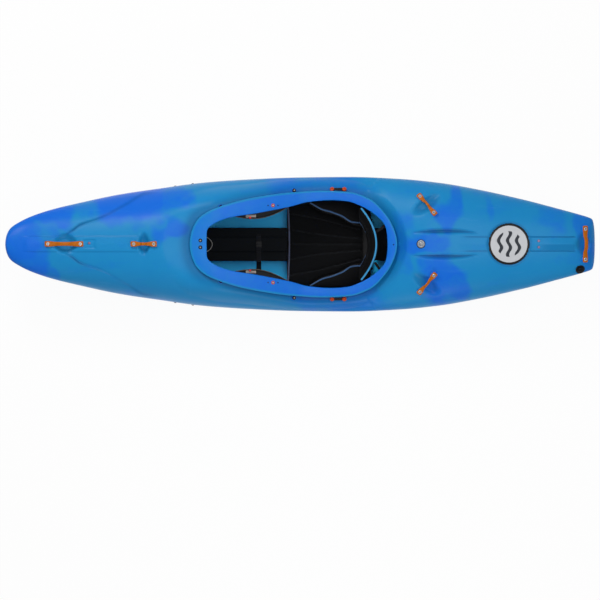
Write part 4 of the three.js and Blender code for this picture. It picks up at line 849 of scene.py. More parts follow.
def swirl_and_lip_highlight_share(points):
    """How much of the turquoise plastic shows at each point of the shell, with a painted highlight along the rim's lip.
    """
    x, y, z = points.T
    warped_x = x + 26 * waves(x, y, 210, 3) + 9 * waves(x, y + z, 70, 4)
    warped_y = y + 18 * waves(x, y, 170, 5) + 7 * waves(x + z, y, 60, 6)
    deck = np.zeros(len(points))
    for *box, strength in DEEP_BLUES:
        deck = np.maximum(deck, strength * patch(box, warped_x, warped_y))
    rim_low = FORM.rim_top(np.clip(x, RIM_FRONT, RIM_FRONT + RIM_LENGTH)) - RIM_HEM - 1
    rim = (FORM.distance_to_lip(x, y) <= 0.5) & (z > rim_low)
    # Painted highlight: the rim's rounded lip is made turquoise, so lighter, within a few millimetres of its edge
    edge = 1 - smooth_step((FORM.lip_distance(x, y) - 3) / 5)
    blue = lerp(RIM_BLUE["front_share"], 1, smooth_step((x - RIM_BLUE["from"]) / RIM_BLUE["over"]))
    deck = np.where(rim, RIM_BLUE["strength"] * blue * (1 - edge), deck)
    ends = SIDE_BLUE
    middle = smooth_step((warped_x - ends["front"]) / ends["front_over"])
    middle = middle * smooth_step((ends["rear"] - warped_x) / ends["rear_over"])
    side = np.clip(ends["strength"] * (1 - middle) + 0.2 * waves(x, z, 260, 8), 0, 1)
    below = smooth_step((FORM.gunwale(x) - z) / 26 + 0.5)
    streak = np.where(rim, 0.03, 0.09) * waves(x * 0.4, y + z * 0.5, 90, 9)
    return np.clip(1 - lerp(deck, side, below) + streak, 0, 1)


def inside_share(points):
    """Whether points lie on the shell's inner skin, as 0 or 1."""
    x, y, z = points.T
    low, middle = FORM.keel(x), FORM.gunwale(x)
    below = (z < middle + 1) & (np.abs(y) < FORM.hull_side(x, z) - WALL / 2) & (z > low + WALL / 2)
    above = (z >= middle) & (z < FORM.deck(x, y) - WALL / 2)
    return (below | above).astype(float)


def build_hull(settings):
    """The moulded shell, with its colours, painted shade and painted light kept on its points, and the pads under its
    fittings.
    """
    mesh = hull_mesh()
    points = np.empty(len(mesh.vertices) * 3)
    mesh.vertices.foreach_get("co", points)
    points = points.reshape(-1, 3) / MM
    x, y, z = points.T
    inside = inside_share(points)
    # Layers kept on the points: the swirl with its painted lip highlight, painted shade in the deck's creases (on the
    # deck only), and the inner skin, which the material paints lighter
    on_deck = (1 - inside) * smooth_step((z - FORM.gunwale(x)) / 12) * smooth_step((FORM.deck(x, y) + 9 - z) / 4)
    layers = {"swirl": swirl_and_lip_highlight_share(points) * settings.swirl, "crease": FORM.crease(x, y) * on_deck, "inside": inside}
    for name, values in layers.items():
        mesh.attributes.new(name, "FLOAT", "POINT").data.foreach_set("value", values.astype(np.float32))
    add_piece("moulded_hull", mesh, "hull plastic", replaces=["hull_shell"])
    build_bosses()


# Frames on the deck

def normal_of(height, x, y, probe=4):
    along = (height(x + probe, y) - height(x - probe, y)) / (2 * probe)
    across = (height(x, y + probe) - height(x, y - probe)) / (2 * probe)
    normal = np.array([-float(along), -float(across), 1])
    return normal / np.linalg.norm(normal)


def frame_between(first, last, up):
    """Frame midway between two points, with X towards the last and Z near up; and the distance."""
    first, last = np.asarray(first, float), np.asarray(last, float)
    along = (last - first) / np.linalg.norm(last - first)
    across = np.cross(up, along)
    across /= np.linalg.norm(across)
    return ((first + last) / 2, along, across, np.cross(along, across)), float(np.linalg.norm(last - first))


def frame_on(x, y, lift=0.0, height=FORM.deck):
    """Frame on the deck with Z square to it and X towards the stern."""
    up = normal_of(height, x, y)
    across = np.cross(up, [1, 0, 0])
    across /= np.linalg.norm(across)
    origin = np.array([x, y, float(height(x, y))]) + up * lift
    return origin, np.cross(across, up), across, up


def rim_surface(x, y):
    """The rim's top as a height field."""
    return FORM.rim_top(x) + 0 * y


def middle_of(node):
    return sum(cad_box(node)) / 2


def frame_over(node, lift=0.0, height=FORM.deck):
    """Frame on the deck, or on the rim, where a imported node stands."""
    return frame_on(*middle_of(node)[:2], lift, height)


def moved(frame_at, along=0.0, up=0.0):
    """A frame moved along its X and its Z."""
    return (frame_at[0] + frame_at[1] * along + frame_at[3] * up, *frame_at[1:])


BOLT_MIDDLE = 4.1


def handle_frame(name):
    """Frame of a handle from its two bolts, with its underside at zero."""
    front, rear = (middle_of(f"{name}_bolt_{end}") for end in ("front", "rear"))
    frame_at, span = frame_between(front, rear, normal_of(FORM.plain_deck, *((front + rear) / 2)[:2]))
    return moved(frame_at, up=-BOLT_MIDDLE), span


def build_bosses():
    """Raised pads under the handles and the coaming bolts."""
    parts = []

    def pad(frame_at, radius, foot, top):
        edge = [(radius + 3, foot), (radius + 1.5, top - 3), (radius, top - 1), (radius - 1.2, top)]
        outline = [(0, foot), *edge, (0, top)]
        parts.append(placed(turned_form(outline, 40), frame_at))

    for name in HANDLES:
        frame_at, span = handle_frame(name)
        for end in (-1, 1):
            pad(moved(frame_at, end * span / 2), BOSS_RADIUS - 3.5, -BOSS_RISE - 6, GAP)
    for side, _ in SIDES:
        for place in ("front", "middle"):
            pad(frame_over(f"coaming_bolt_{place}_{side}", BOSS_RISE), 9, -BOSS_RISE - 5, -GAP)
    add_form("deck_bosses", merged(parts), "hull plastic")


# Handles and bolts

def handle_form(span, waist, end):
    """A waisted grab handle along X with its feet's underside at zero."""
    half = span / 2 + HANDLE["end_reach"]
    free = half - 2 * HANDLE["foot"]
    rings = []
    for u in np.linspace(0, 1, 72):
        x = -half * math.cos(math.pi * u)
        from_end = half - abs(x)
        rounding = math.sqrt(max(1 - (1 - min(from_end / HANDLE["corner"], 1)) ** 2, 0))
        swell = float(np.clip(abs(x) / (half - HANDLE["foot"]), 0, 1)) ** 2.2
        width = max(lerp(waist, end, swell) - HANDLE["corner"] * (1 - rounding), 0.05)
        arch = 0.0
        if abs(x) < free:
            arch = HANDLE["rise"] * float(smooth_step((1 - abs(x) / free) * HANDLE["arch_share"]))
        deep = HANDLE["thickness"] + HANDLE["crown"]
        edge = min(1, 0.45 + from_end / 8)
        ring = []
        for turn in np.linspace(0, 2 * math.pi, 28, endpoint=False):
            c, s = math.cos(turn), math.sin(turn)
            power = lerp(0.75, 0.45, swell)
            y = width * math.copysign(abs(c) ** power, c)
            z = deep / 2 * edge * math.copysign(abs(s) ** 0.75, s)
            ring.append((x, y, GAP + arch + deep / 2 + z))
        rings.append(ring)
    return capped(np.array(rings))


def build_handles(settings):
    """The five grab handles, with a washer and a bolt head at each end."""
    heads, washers = [], []
    seat = HANDLE["thickness"] + HANDLE["crown"] + GAP
    for name in HANDLES:
        frame_at, span = handle_frame(name)
        waist = HANDLE_WAISTS.get(name, REAR_HANDLE_WAIST) * settings.handle_waist
        bar = placed(handle_form(span, waist, HANDLE_ENDS.get(name, REAR_HANDLE_END)), frame_at)
        add_form(name + "_bar", bar, "handle plastic", replaces=[name])
        for end in (-1, 1):
            washers.append(moved(frame_at, end * span / 2, seat)[::3])
            heads.append(moved(frame_at, end * span / 2, seat + WASHER_LIFT)[::3])
    nodes = [f"{name}_bolt_{end}" for name in HANDLES for end in ("front", "rear")]
    add_studs("handle_washers", washers, 7.6, 1.2, 28, "washer steel")
    add_studs("handle_bolts", heads, 5.2, 3.4, 6, "bolt steel", replaces=nodes)


class Wiring:
    """Adds and links the nodes of one tree."""

    def __init__(self, tree):
        self.tree = tree

    def add(self, kind, inputs=None, **settings):
        """A new node, with each of its inputs linked to the socket given for it, or set to the value."""
        node = self.tree.nodes.new(kind)
        for key, value in settings.items():
            setattr(node, key, value)
        for key, value in (inputs or {}).items():
            if isinstance(value, bpy.types.NodeSocket):
                self.link(value, node.inputs[key])
            else:
                node.inputs[key].default_value = value
        return node

    def link(self, output, target):
        self.tree.links.new(output, target)

    def calc(self, operation, *values):
        return self.add("ShaderNodeMath", dict(enumerate(values)), operation=operation).outputs[0]

    def ranged(self, value, low=0.0, high=1.0, to_low=0.0, to_high=1.0):
        """A value between two limits, brought to between two others."""
        limits = {"Value": value, "From Min": low, "From Max": high, "To Min": to_low, "To Max": to_high}
        return self.add("ShaderNodeMapRange", limits).outputs[0]

    def noise(self, place, scale, detail, roughness=0.5, distortion=0.0):
        inputs = {"Vector": place, "Scale": scale, "Detail": detail, "Roughness": roughness, "Distortion": distortion}
        return self.add("ShaderNodeTexNoise", inputs).outputs["Fac"]

    def upright(self, points, stem, direction):
        """Copies of a stem on points, each with its Z along a direction, as real geometry."""
        turn = self.add("FunctionNodeAlignRotationToVector", {"Vector": direction}, axis="Z").outputs["Rotation"]
        spread = self.add("GeometryNodeInstanceOnPoints", {"Points": points, "Instance": stem, "Rotation": turn})
        return self.add("GeometryNodeRealizeInstances", {"Geometry": spread.outputs["Instances"]}).outputs["Geometry"]


def shared_tree(name, kind, inputs, outputs, fill):
    """The node group of that name, or a new one whose outputs a function makes from its wiring and inputs."""
    tree = bpy.data.node_groups.get(name)
    if tree:
        return tree
    tree = bpy.data.node_groups.new(name, kind)
    for way, sockets in (("INPUT", inputs), ("OUTPUT", outputs)):
        for socket, value in sockets:
            tree.interface.new_socket(socket, in_out=way, socket_type="NodeSocket" + value)
    wire = Wiring(tree)
    entry, leave = wire.add("NodeGroupInput"), wire.add("NodeGroupOutput")
    for socket, value in fill(wire, entry.outputs).items():
        wire.link(value, leave.inputs[socket])
    return tree


def studs_tree():
    """Node tree that sets a round or six-sided stud on every point, square to its up attribute."""

    def fill(wire, entry):
        stem = wire.add("GeometryNodeMeshCone", {
            "Vertices": entry["Sides"], "Fill Segments": 1, "Radius Bottom": entry["Radius"],
            "Radius Top": wire.calc("MULTIPLY", entry["Radius"], STUD_TAPER), "Depth": entry["Height"],
        }, fill_type="TRIANGLE_FAN")
        up = wire.add("GeometryNodeInputNamedAttribute", {"Name": "up"}, data_type="FLOAT_VECTOR")
        return {"Geometry": wire.upright(entry["Geometry"], stem.outputs["Mesh"], up.outputs["Attribute"])}

    inputs = [("Geometry", "Geometry"), ("Radius", "Float"), ("Height", "Float"), ("Sides", "Int")]
    return shared_tree("Studs", "GeometryNodeTree", inputs, [("Geometry", "Geometry")], fill)


def stitches_tree():
    """Node tree that lays short thread stitches along an edge path."""

    def fill(wire, entry):
        curve = wire.add("GeometryNodeMeshToCurve", {"Mesh": entry["Geometry"]}).outputs["Curve"]
        even = wire.add("GeometryNodeResampleCurve", {"Curve": curve, "Length": entry["Spacing"]}, mode="LENGTH")
        sizes = {"Vertices": 6, "Radius": entry["Thread Radius"], "Depth": entry["Stitch Length"]}
        stitch = wire.add("GeometryNodeMeshCylinder", sizes)
        along = wire.add("GeometryNodeInputTangent").outputs["Tangent"]
        return {"Geometry": wire.upright(even.outputs["Curve"], stitch.outputs["Mesh"], along)}

    inputs = [("Geometry", "Geometry"), ("Spacing", "Float"), ("Stitch Length", "Float"), ("Thread Radius", "Float")]
    return shared_tree("Stitches", "GeometryNodeTree", inputs, [("Geometry", "Geometry")], fill)


def add_baked(name, points, edges, tree, values, finish, body, replaces, edge_angle, up=None):
    """Links the plain mesh that a node tree makes of points and edges in millimetres."""
    carrier = bpy.data.meshes.new(name + "_carrier")
    carrier.from_pydata((np.asarray(points) * MM).tolist(), edges, [])
    if up is not None:
        layer = carrier.attributes.new("up", "FLOAT_VECTOR", "POINT")
        layer.data.foreach_set("vector", np.array(up, np.float32).ravel())
    holder = bpy.data.objects.new(name + "_points", carrier)
    bpy.context.scene.collection.objects.link(holder)
    modifier = holder.modifiers.new("Build", "NODES")
    modifier.node_group = tree
    for item in tree.interface.items_tree:
        if item.item_type == "SOCKET" and item.in_out == "INPUT" and item.name in values:
            modifier[item.identifier] = values[item.name]
    mesh = bpy.data.meshes.new_from_object(holder.evaluated_get(bpy.context.evaluated_depsgraph_get()))
    mesh.name = name
    bpy.data.objects.remove(holder)
    bpy.data.meshes.remove(carrier)
    built = bmesh.new()
    built.from_mesh(mesh)
    mesh.materials.clear()
    return add_piece(name, finish_mesh(built, mesh, 1e-7), finish, body, replaces, edge_angle)


def add_studs(name, places, radius, height, sides, finish, replaces=()):
    """Studs with their foot at each (point, up) place."""
    points, up = zip(*places)
    values = {"Radius": radius * MM, "Height": height * MM, "Sides": sides}
    return add_baked(name, points, [], studs_tree(), values, finish, "hull", replaces, STUD_ANGLE, up)


def add_stitches(name, paths, body="hull", radius=0.42):
    """Stitches along one or more paths in millimetres."""
    edges, start = [], 0
    for path in paths:
        edges += [(start + k, start + k + 1) for k in range(len(path) - 1)]
        start += len(path)
    values = {"Spacing": STITCH["spacing"] * MM, "Stitch Length": STITCH["length"] * MM, "Thread Radius": radius * MM}
    points = np.concatenate(paths)
    return add_baked(name, points, edges, stitches_tree(), values, "thread", body, (), STITCH["edge_angle"])


def build_fittings(settings):
    """Bolts of the rim, coaming, rails and rear deck, hip caps, drain, badge and roundel."""
    washers, heads, rings, plates = [], [], [], []
    holes = [frame_on(*place, RIM_HOLE_LIFT, rim_surface)[::3] for place in REAR_RIM_HOLES]
    deck_heads = []

    def bolt(foot, up, under=washers, over=heads):
        under.append((foot, up))
        over.append((foot + up * WASHER_LIFT, up))

    for side, sign in SIDES:
        bolt(*frame_over(f"rim_bolt_{side}", RIM_BOLT_LIFT, rim_surface)[::3])
        at = frame_over(f"thigh_bolt_{side}", RIM_BOLT_LIFT, rim_surface)
        bolt(*at[::3], rings, plates)
        holes += [moved(at, reach)[::3] for reach in (-THIGH_HOLE_REACH, THIGH_HOLE_REACH)]
        for place in ("front", "middle"):
            bolt(*frame_over(f"coaming_bolt_{place}_{side}", BOSS_RISE - GAP)[::3])
        deck_heads.append(frame_over(f"rear_deck_bolt_{side}", GAP)[::3])
        for place in ("front", "rear"):
            x, _y, z = middle_of(f"rail_bolt_{place}_{side}")
            bolt(np.array([x, sign * (float(FORM.hull_side(x, z)) + 0.4), z]), np.array([0, sign, 0]))
    deck_heads.append(frame_on(*BOW_POCKET["bolt"], GAP)[::3])
    scale = settings.bolt_size

    def both(*kinds):
        return [f"{kind}_{side}" for side, _ in SIDES for kind in kinds]

    nodes = both("rim_bolt", "coaming_bolt_front", "coaming_bolt_middle", "rail_bolt_front", "rail_bolt_rear")
    add_studs("bolt_washers", washers, 9 * scale, 1.2, 28, "black plastic")
    add_studs("bolt_heads", heads, 4.6 * scale, 3, 6, "bolt steel", nodes)
    add_studs("deck_bolt_heads", deck_heads, 6.6 * scale, 2.2, 24, "bolt bronze", both("rear_deck_bolt"))
    add_studs("rim_holes", holes, 3 * scale, 0.6, 20, "black plastic")
    add_studs("thigh_bolt_rings", rings, 8.4 * scale, 1.6, 32, "orange cap", both("thigh_bolt"))
    add_studs("thigh_bolt_heads", plates, 4.4 * scale, 2.4, 24, "pale plastic")
    build_hip_caps()
    build_drain()
    build_badge()
    build_roundel()


def build_hip_caps():
    """Two round caps joined by a plate on each side of the rim."""
    cap = turned_form(HIP_CAP_OUTLINE, 36)
    for side, _ in SIDES:
        low, high = cad_box(f"hip_cap_{side}")
        y = (low[1] + high[1]) / 2
        ends = [low[0] + HIP_CAP_RADIUS, high[0] - HIP_CAP_RADIUS]
        places = [np.array([x, y, float(FORM.deck(x, y))]) for x in ends]
        frame_at, span = frame_between(*places, normal_of(FORM.plain_deck, sum(ends) / 2, y))
        frame_at = moved(frame_at, up=BOSS_RISE)
        plate = box_form([-span / 2, -6, -0.5], [span / 2, 6, 3], 1.2)
        add_form(f"hip_cap_plate_{side}", placed(plate, frame_at), "black plastic")
        caps = merged(placed(cap, moved(frame_at, end * span / 2)) for end in (-1, 1))
        add_form(f"hip_cap_discs_{side}", caps, "orange cap", replaces=[f"hip_cap_{side}"], edge_angle=50)


def build_drain():
    """The drain's cup in its pocket, its seal and its plug with a grip bar."""
    cup = placed(lathe(DRAIN_CUP_OUTLINE, DRAIN_SIDES, closed=True), DRAIN_FRAME)
    add_form("drain_cup", cup, "black plastic", replaces=["drain_housing"], edge_angle=40)
    turn = np.linspace(0, 2 * math.pi, 12, endpoint=False)
    seal = lathe([(12.6 + 1.2 * math.cos(t), 1.6 + math.sin(t)) for t in turn], DRAIN_SIDES, closed=True)
    add_form("drain_seal_ring", placed(seal, DRAIN_FRAME), "black foam", "drain_seal", ["drain_seal"])
    plug = merged([turned_form(DRAIN_PLUG_OUTLINE, DRAIN_SIDES), box_form([-10, -3, 8.4], [10, 3, 14.2], 1.6)])
    add_form("drain_stopper", placed(plug, DRAIN_FRAME), "black plastic", "drain_plug", ["drain_plug"], 40)


def build_badge():
    """The round domed badge behind the cockpit, with the ring that it sits in."""
    frame_at = frame_over("deck_badge")
    dome = placed(turned_form(BADGE_OUTLINE, 56), frame_at)
    add_form("badge_dome", dome, "badge silver", replaces=["deck_badge"], edge_angle=50)
    ring = placed(lathe(BADGE_RING_OUTLINE, 56, closed=True), frame_at)
    add_form("badge_ring", ring, "black plastic", edge_angle=50)


def build_roundel():
    """A thin disc inlaid in the rear deck's dish."""
    middle = NUMBER_DISH["x"]
    turn = np.linspace(0, 2 * math.pi, 96, endpoint=False)
    radius = np.linspace(0, ROUNDEL_RADIUS, 30)[1:, None]
    x, y = middle + radius * np.cos(turn), radius * np.sin(turn)
    top = np.stack([x, y, FORM.deck(x, y) + ROUNDEL_RISE], axis=2)
    rings = np.concatenate([top, (top - [0, 0, ROUNDEL_THICKNESS])[::-1]])
    high = float(FORM.deck(middle, 0.0)) + ROUNDEL_RISE
    add_form("deck_roundel", fanned(rings, (middle, 0, high), (middle, 0, high - ROUNDEL_THICKNESS)), "roundel film")


# Outfitting

BODY_OF = {node: body for body, nodes in frame["record"]["behaviour"]["bodies"].items() for node in nodes}
SEAT_LOW, SEAT_HIGH = cad_box("seat_pad")
TRAY = SEAT_LOW[2]
HIP_LOW, HIP_HIGH = cad_box("hip_pad_starboard")
# Inner faces of the hip pads, as (X, Y) from front to rear
HIP_LINE = [(46, 192), (62, 183), (91, 166), (126, 153), (161, 145), (184, 135), (208, 121), (240, 103), (282, 98)]
SEAT_CHANNELS = [[(-63, 72), (100, 45), (292, 27)], [(-63, 147), (100, 116), (292, 64)]]
# How far the cushion's cloth runs on behind its padding, to the foot of the backband
SEAT_SKIRT = 31


def softened(node, finish, bevel, segments=2):
    """A copy of a CAD node's shape with its edges rounded, in place of the node."""
    built = bmesh.new()
    built.from_mesh(frame["nodes"][node].data)
    bmesh.ops.remove_doubles(built, verts=built.verts, dist=1e-6)
    bmesh.ops.dissolve_limit(built, angle_limit=math.radians(1.5), verts=built.verts, edges=built.edges)
    limit = math.radians(28)
    sharp = [edge for edge in built.edges if len(edge.link_faces) == 2 and edge.calc_face_angle(0) > limit]
    bmesh.ops.bevel(built, geom=sharp, offset=bevel * MM, segments=segments, profile=0.5, affect="EDGES",
                    clamp_overlap=True)
    name = node + "_shape"
    return add_piece(name, finish_mesh(built, bpy.data.meshes.new(name), 1e-7), finish, BODY_OF[node], [node], 32)


def smooth_line(line, x):
    """A smooth value through (x, y) points."""
    rows = np.array(line, float)
    path = rounded(np.column_stack([rows, np.zeros(len(rows))]), 60)
    return np.interp(x, path[:, 0], path[:, 1])


def build_seat(settings):
    """Seat tray, cushion with its sewn channels and front piping, and the two hip pads."""
    softened("seat_pan", "black plastic", 1.4)
    front, rear = SEAT_LOW[0], SEAT_HIGH[0] + SEAT_SKIRT
    swell = settings.swell

    def outline(u, v):
        x = lerp(front, rear, u)
        beside = smooth_line(HIP_LINE, np.maximum(x, HIP_LINE[0][0])) - 9
        half = np.where(x > 44, beside, 190) - 5 * (2 * u - 1) ** 6
        return x, (2 * v - 1) * half, half

    def top(u, v):
        x, y, half = outline(u, v)
        q = np.clip(np.abs(y) / half, 0, 1)
        round_edge = (1 - q**10) ** 0.5 * (1 - np.abs(2 * u - 1) ** 14) ** 0.5
        z = TRAY + 12 + 15 * round_edge + 8 * swell * (1 - q**3) * np.sin(math.pi * np.clip(u, 0.08, 0.92))
        puff = np.full(x.shape, 1e3)
        for line in SEAT_CHANNELS:
            puff = np.minimum(puff, np.abs(np.abs(y) - smooth_line(line, x)))
        puff = np.minimum(puff, np.abs(y))
        z = z - 6.5 * bell(puff, 5.5) + 2.4 * swell * smooth_step(puff / 26)
        z = z + 0.7 * waves(x, y, 60, 21) * round_edge
        return x, y, z

    def bottom(u, v):
        x, y, half = outline(u, v)
        return x, y * 0.97, np.full(x.shape, TRAY + 0.1)

    seat = add_form("seat_cushion", closed_sheet(top, bottom, 90, 120), "seat cloth", replaces=["seat_pad"])
    sewn = []
    for line in [[(front, 0), (rear, 0)], *SEAT_CHANNELS]:
        for sign in (1, -1) if line[0][1] else (1,):
            x = np.linspace(front + 14, rear - 14, 40)
            y = sign * smooth_line(line, x) if line[0][1] else 0 * x
            for offset in (-2.2, 2.2):
                u = (x - front) / (rear - front)
                _, _, half = outline(u, 0.5)
                _, _, z = top(u, ((y + offset) / half + 1) / 2)
                sewn.append(np.stack([x, y + offset, z + 0.3], axis=1))
    add_stitches("seat_stitches", sewn, radius=0.45)
    v = np.linspace(0.02, 0.98, 60)
    x, y, z = top(0.03 - 0.018 * (2 * v - 1) ** 2, v)
    add_form("seat_front_piping", tube(np.stack([x, y, z + 0.6], axis=1), 3.6), "grey piping")
    for side, sign in SIDES:
        build_hip_pad(side, sign, swell)


def build_hip_pad(side, sign, swell):
    """One padded hip cheek with piping along its top inner edge."""
    front, rear, outer, foot = HIP_LOW[0], HIP_HIGH[0], HIP_HIGH[1], HIP_LOW[2]

    def height(u):
        return (HIP_HIGH[2] - foot) * lerp(1, 0.76, smooth_step(2 * u - 1)) - 6 * (2 * u - 1) ** 4

    def inner(u, v):
        x = lerp(front, rear, u)
        base = smooth_line(HIP_LINE, x)
        roll = 9 * np.clip(v - 0.82, 0, 1) ** 2 / 0.18**2 + 5 * np.clip(0.1 - v, 0, 1) / 0.1
        puff = 6 * swell * np.sin(math.pi * v) * np.sin(math.pi * u)
        dimple = 1.4 * waves(x, v * 150, 70, 31)
        y = np.minimum(base - puff + roll + dimple, outer - 2)
        return x, sign * y, foot + v * height(u)

    def back(u, v):
        x = lerp(front, rear, u)
        return x, np.full(x.shape, sign * (outer - 0.4)), foot + v * height(u) * 0.985

    pad = add_form(f"hip_cheek_{side}", closed_sheet(inner, back, 60, 40), "seat cloth", replaces=[f"hip_pad_{side}"])
    u = np.linspace(0, 1, 60)
    x, y, z = inner(u, np.full(u.shape, 0.93))
    add_form(f"hip_piping_{side}", tube(np.stack([x, y, z + 1.5], axis=1), 4), "blue piping")
    x, y, z = inner(u[2:-2], np.full(u[2:-2].shape, 0.84))
    add_stitches(f"hip_stitches_{side}", [np.stack([x, y - sign * 0.4, z], axis=1)])


# Backband, by its lower and upper edge, with the ears that it turns on and the straps behind it
REAR_STRAPS = {
    "rear_strap_port": [(347, -86, 290), (362, -106, 280), (380, -130, 272), (398, -152, 272), (416, -172, 290)],
    "rear_strap_starboard": [(354, 58, 290), (374, 70, 282), (396, 90, 275), (414, 116, 275), (428, 140, 290)],
}
BAND = {
    "low_x": 331, "high_x": 354, "low_half": 112, "high_half": 172, "low_z": 196, "high_z": 322,
    "low_sag": 46, "high_sag": 74, "drop": 18, "shell": 5, "shell_top": 0.89, "pad": 20, "pad_edge": 9,
}
EAR = {"x": 322, "z": 206, "outer": 112, "thickness": 6, "arm": (292, 315, 199, 222)}
EAR_OUTLINE = [(11.4, 0), (12, 0.8), (12, 5.2), (11.4, 6), (4.4, 6), (4.4, 0)]
# Piping: share up the band, how far back, lift, share drawn in from the ends, radius and finish
BAND_PIPING = {
    "upper": (0.985, 0, 2.6, 0.02, 4.2, "light piping"), "lower": (0.03, -14, 1, 0.07, 3.4, "blue piping"),
}


def band_place(u, v, back):
    """A place on the backband: u across it from port to starboard, v up it, and so far back."""
    q = 2 * u - 1
    bow = lerp(BAND["low_sag"], BAND["high_sag"], v) * q**2
    x = lerp(BAND["low_x"], BAND["high_x"], v) - bow + back
    y = q * lerp(BAND["low_half"], BAND["high_half"], v)
    return x, y, lerp(BAND["low_z"], BAND["high_z"] - BAND["drop"] * q**2, v)


def build_backband(settings):
    """The curved backband: shell with its pivot ears, padding, piping and sewn line."""
    swell = settings.swell

    def shell_side(u, v, back):
        # Narrower towards the top, so that its corners pass inside the rim when the band leans back
        return band_place(0.5 + (u - 0.5) * lerp(1, BAND["shell_top"], v), v, back)

    parts = [closed_sheet(lambda u, v: shell_side(u, v, 0.2), lambda u, v: shell_side(u, v, BAND["shell"]), 60, 24)]
    ear = lathe(EAR_OUTLINE, 36, closed=True)
    front, rear, low, high = EAR["arm"]
    for inner in (EAR["outer"] - EAR["thickness"], -EAR["outer"]):
        parts.append(placed(ear, ((EAR["x"], inner, EAR["z"]), (1, 0, 0), (0, 0, -1), (0, 1, 0))))
        parts.append(box_form([front, inner, low], [rear, inner + EAR["thickness"], high], 1.2))
    add_form("backband_frame", merged(parts), "black plastic", "backband", ["backband_shell"], 40)

    def face(u, v):
        q, w = 2 * u - 1, 2 * v - 1
        full = np.sqrt(np.maximum(1 - q**8, 0)) * np.sqrt(np.maximum(1 - w**6, 0))
        thick = BAND["pad_edge"] + (BAND["pad"] - BAND["pad_edge"] + 1.5 * swell) * full
        sewn = 5 * bell(w, 0.09) + 3.5 * bell(np.abs(q) - 0.5, 0.035) * (1 - w**4)
        x, y, z = band_place(lerp(u, 0.5, 0.02), v, 0)
        return x - thick + sewn * full + 0.8 * waves(y, z, 70, 41), y, z

    padding = closed_sheet(face, lambda u, v: band_place(lerp(u, 0.5, 0.02), v, -0.4), 110, 50)
    pad = add_form("backband_padding", padding, "backband cloth", "backband", ["backband_pad"])
    u = np.linspace(0, 1, 80)
    for name, (v, back, lift, drawn_in, radius, finish) in BAND_PIPING.items():
        x, y, z = band_place(lerp(u, 0.5, drawn_in), np.full(u.shape, v), back)
        add_form(f"backband_{name}_piping", tube(np.stack([x, y, z + lift], axis=1), radius), finish, "backband")
    seams = []
    for v in (0.44, 0.56):
        x, y, z = face(u[3:-3], np.full(u[3:-3].shape, v))
        seams.append(np.stack([x - 0.3, y, z], axis=1))
    add_stitches("backband_stitches", seams, "backband")


def build_pillars():
    """Foam pillars fore and aft."""
    for node in ("front_pillar", "rear_pillar"):
        softened(node, "black foam", 4, 3)


def build_thigh_braces(settings):
    """Thigh braces under the rim with their pads, and the ratchets beside them."""
    for side, sign in SIDES:
        softened(f"thigh_brace_{side}", "black plastic", 1.2)
        build_thigh_pad(side, sign, settings.swell)
        softened(f"ratchet_base_{side}", "pale plastic", 0.5)
        softened(f"ratchet_lever_{side}", "lever plastic", 0.6)
        low, high = cad_box(f"ratchet_lever_{side}")
        inner = low[1] if sign > 0 else high[1]
        tab = box_form([low[0] + 12, inner - 4, high[2] - 6], [low[0] + 20, inner + 4, high[2] + 1], 1.2)
        add_form(f"ratchet_tab_{side}", tab, "red tab", BODY_OF[f"ratchet_lever_{side}"])


THIGH = {"front": -300, "rear": -62, "inward": 19, "outer": 30, "inner": 126, "bolt": 180, "drop": 0.7, "sag": 10}


def brace_place(u, v, sign, proud, low):
    """A place on the underside of a thigh brace, as in the part's own frame."""
    x = lerp(THIGH["front"] - proud, THIGH["rear"] + proud, u)
    inner = FORM.opening_half(x) + 7 - (7 + THIGH["inward"]) * np.sin(math.pi * u)
    outer = FORM.lip_half(x) - THIGH["outer"]
    y = lerp(inner - proud, outer, v)
    out = np.clip((y - THIGH["inner"]) / (THIGH["bolt"] - THIGH["inner"]), 0, 1)
    z = FORM.rim_top(x) - RIM_HEM - THIGH["drop"] - THIGH["sag"] * (1 - out) ** 2
    return x, sign * y, z - low


def build_thigh_pad(side, sign, swell):
    """The foam pad under one brace, rolled at its edge."""

    def upper(u, v):
        return brace_place(u, v, sign, 7, 6.3)

    def under(u, v):
        full = np.sqrt(np.maximum(1 - (2 * u - 1) ** 6, 0)) * np.sqrt(np.maximum(1 - (2 * v - 1) ** 6, 0))
        x, y, z = upper(u, v)
        return x, y, z - 3 - 11 * swell * full

    padding = closed_sheet(upper, under, 60, 26)
    pad = add_form(f"thigh_padding_{side}", padding, "black foam", replaces=[f"thigh_pad_{side}"])
    u = np.linspace(0.02, 0.98, 60)
    edge = np.stack(brace_place(u, np.zeros(u.shape), sign, 6, 8.5), axis=1)
    add_form(f"thigh_pad_binding_{side}", tube(edge, 2.6, 10), "brown binding")


def build_footrest():
    """The footrest's plate with its foam, and its rails."""
    softened("footrest_plate", "black plastic", 1.2)
    softened("footrest_pad", "black foam", 4, 3)
    for side, _ in SIDES:
        softened(f"footrest_rail_{side}", "aluminium", 0.8)


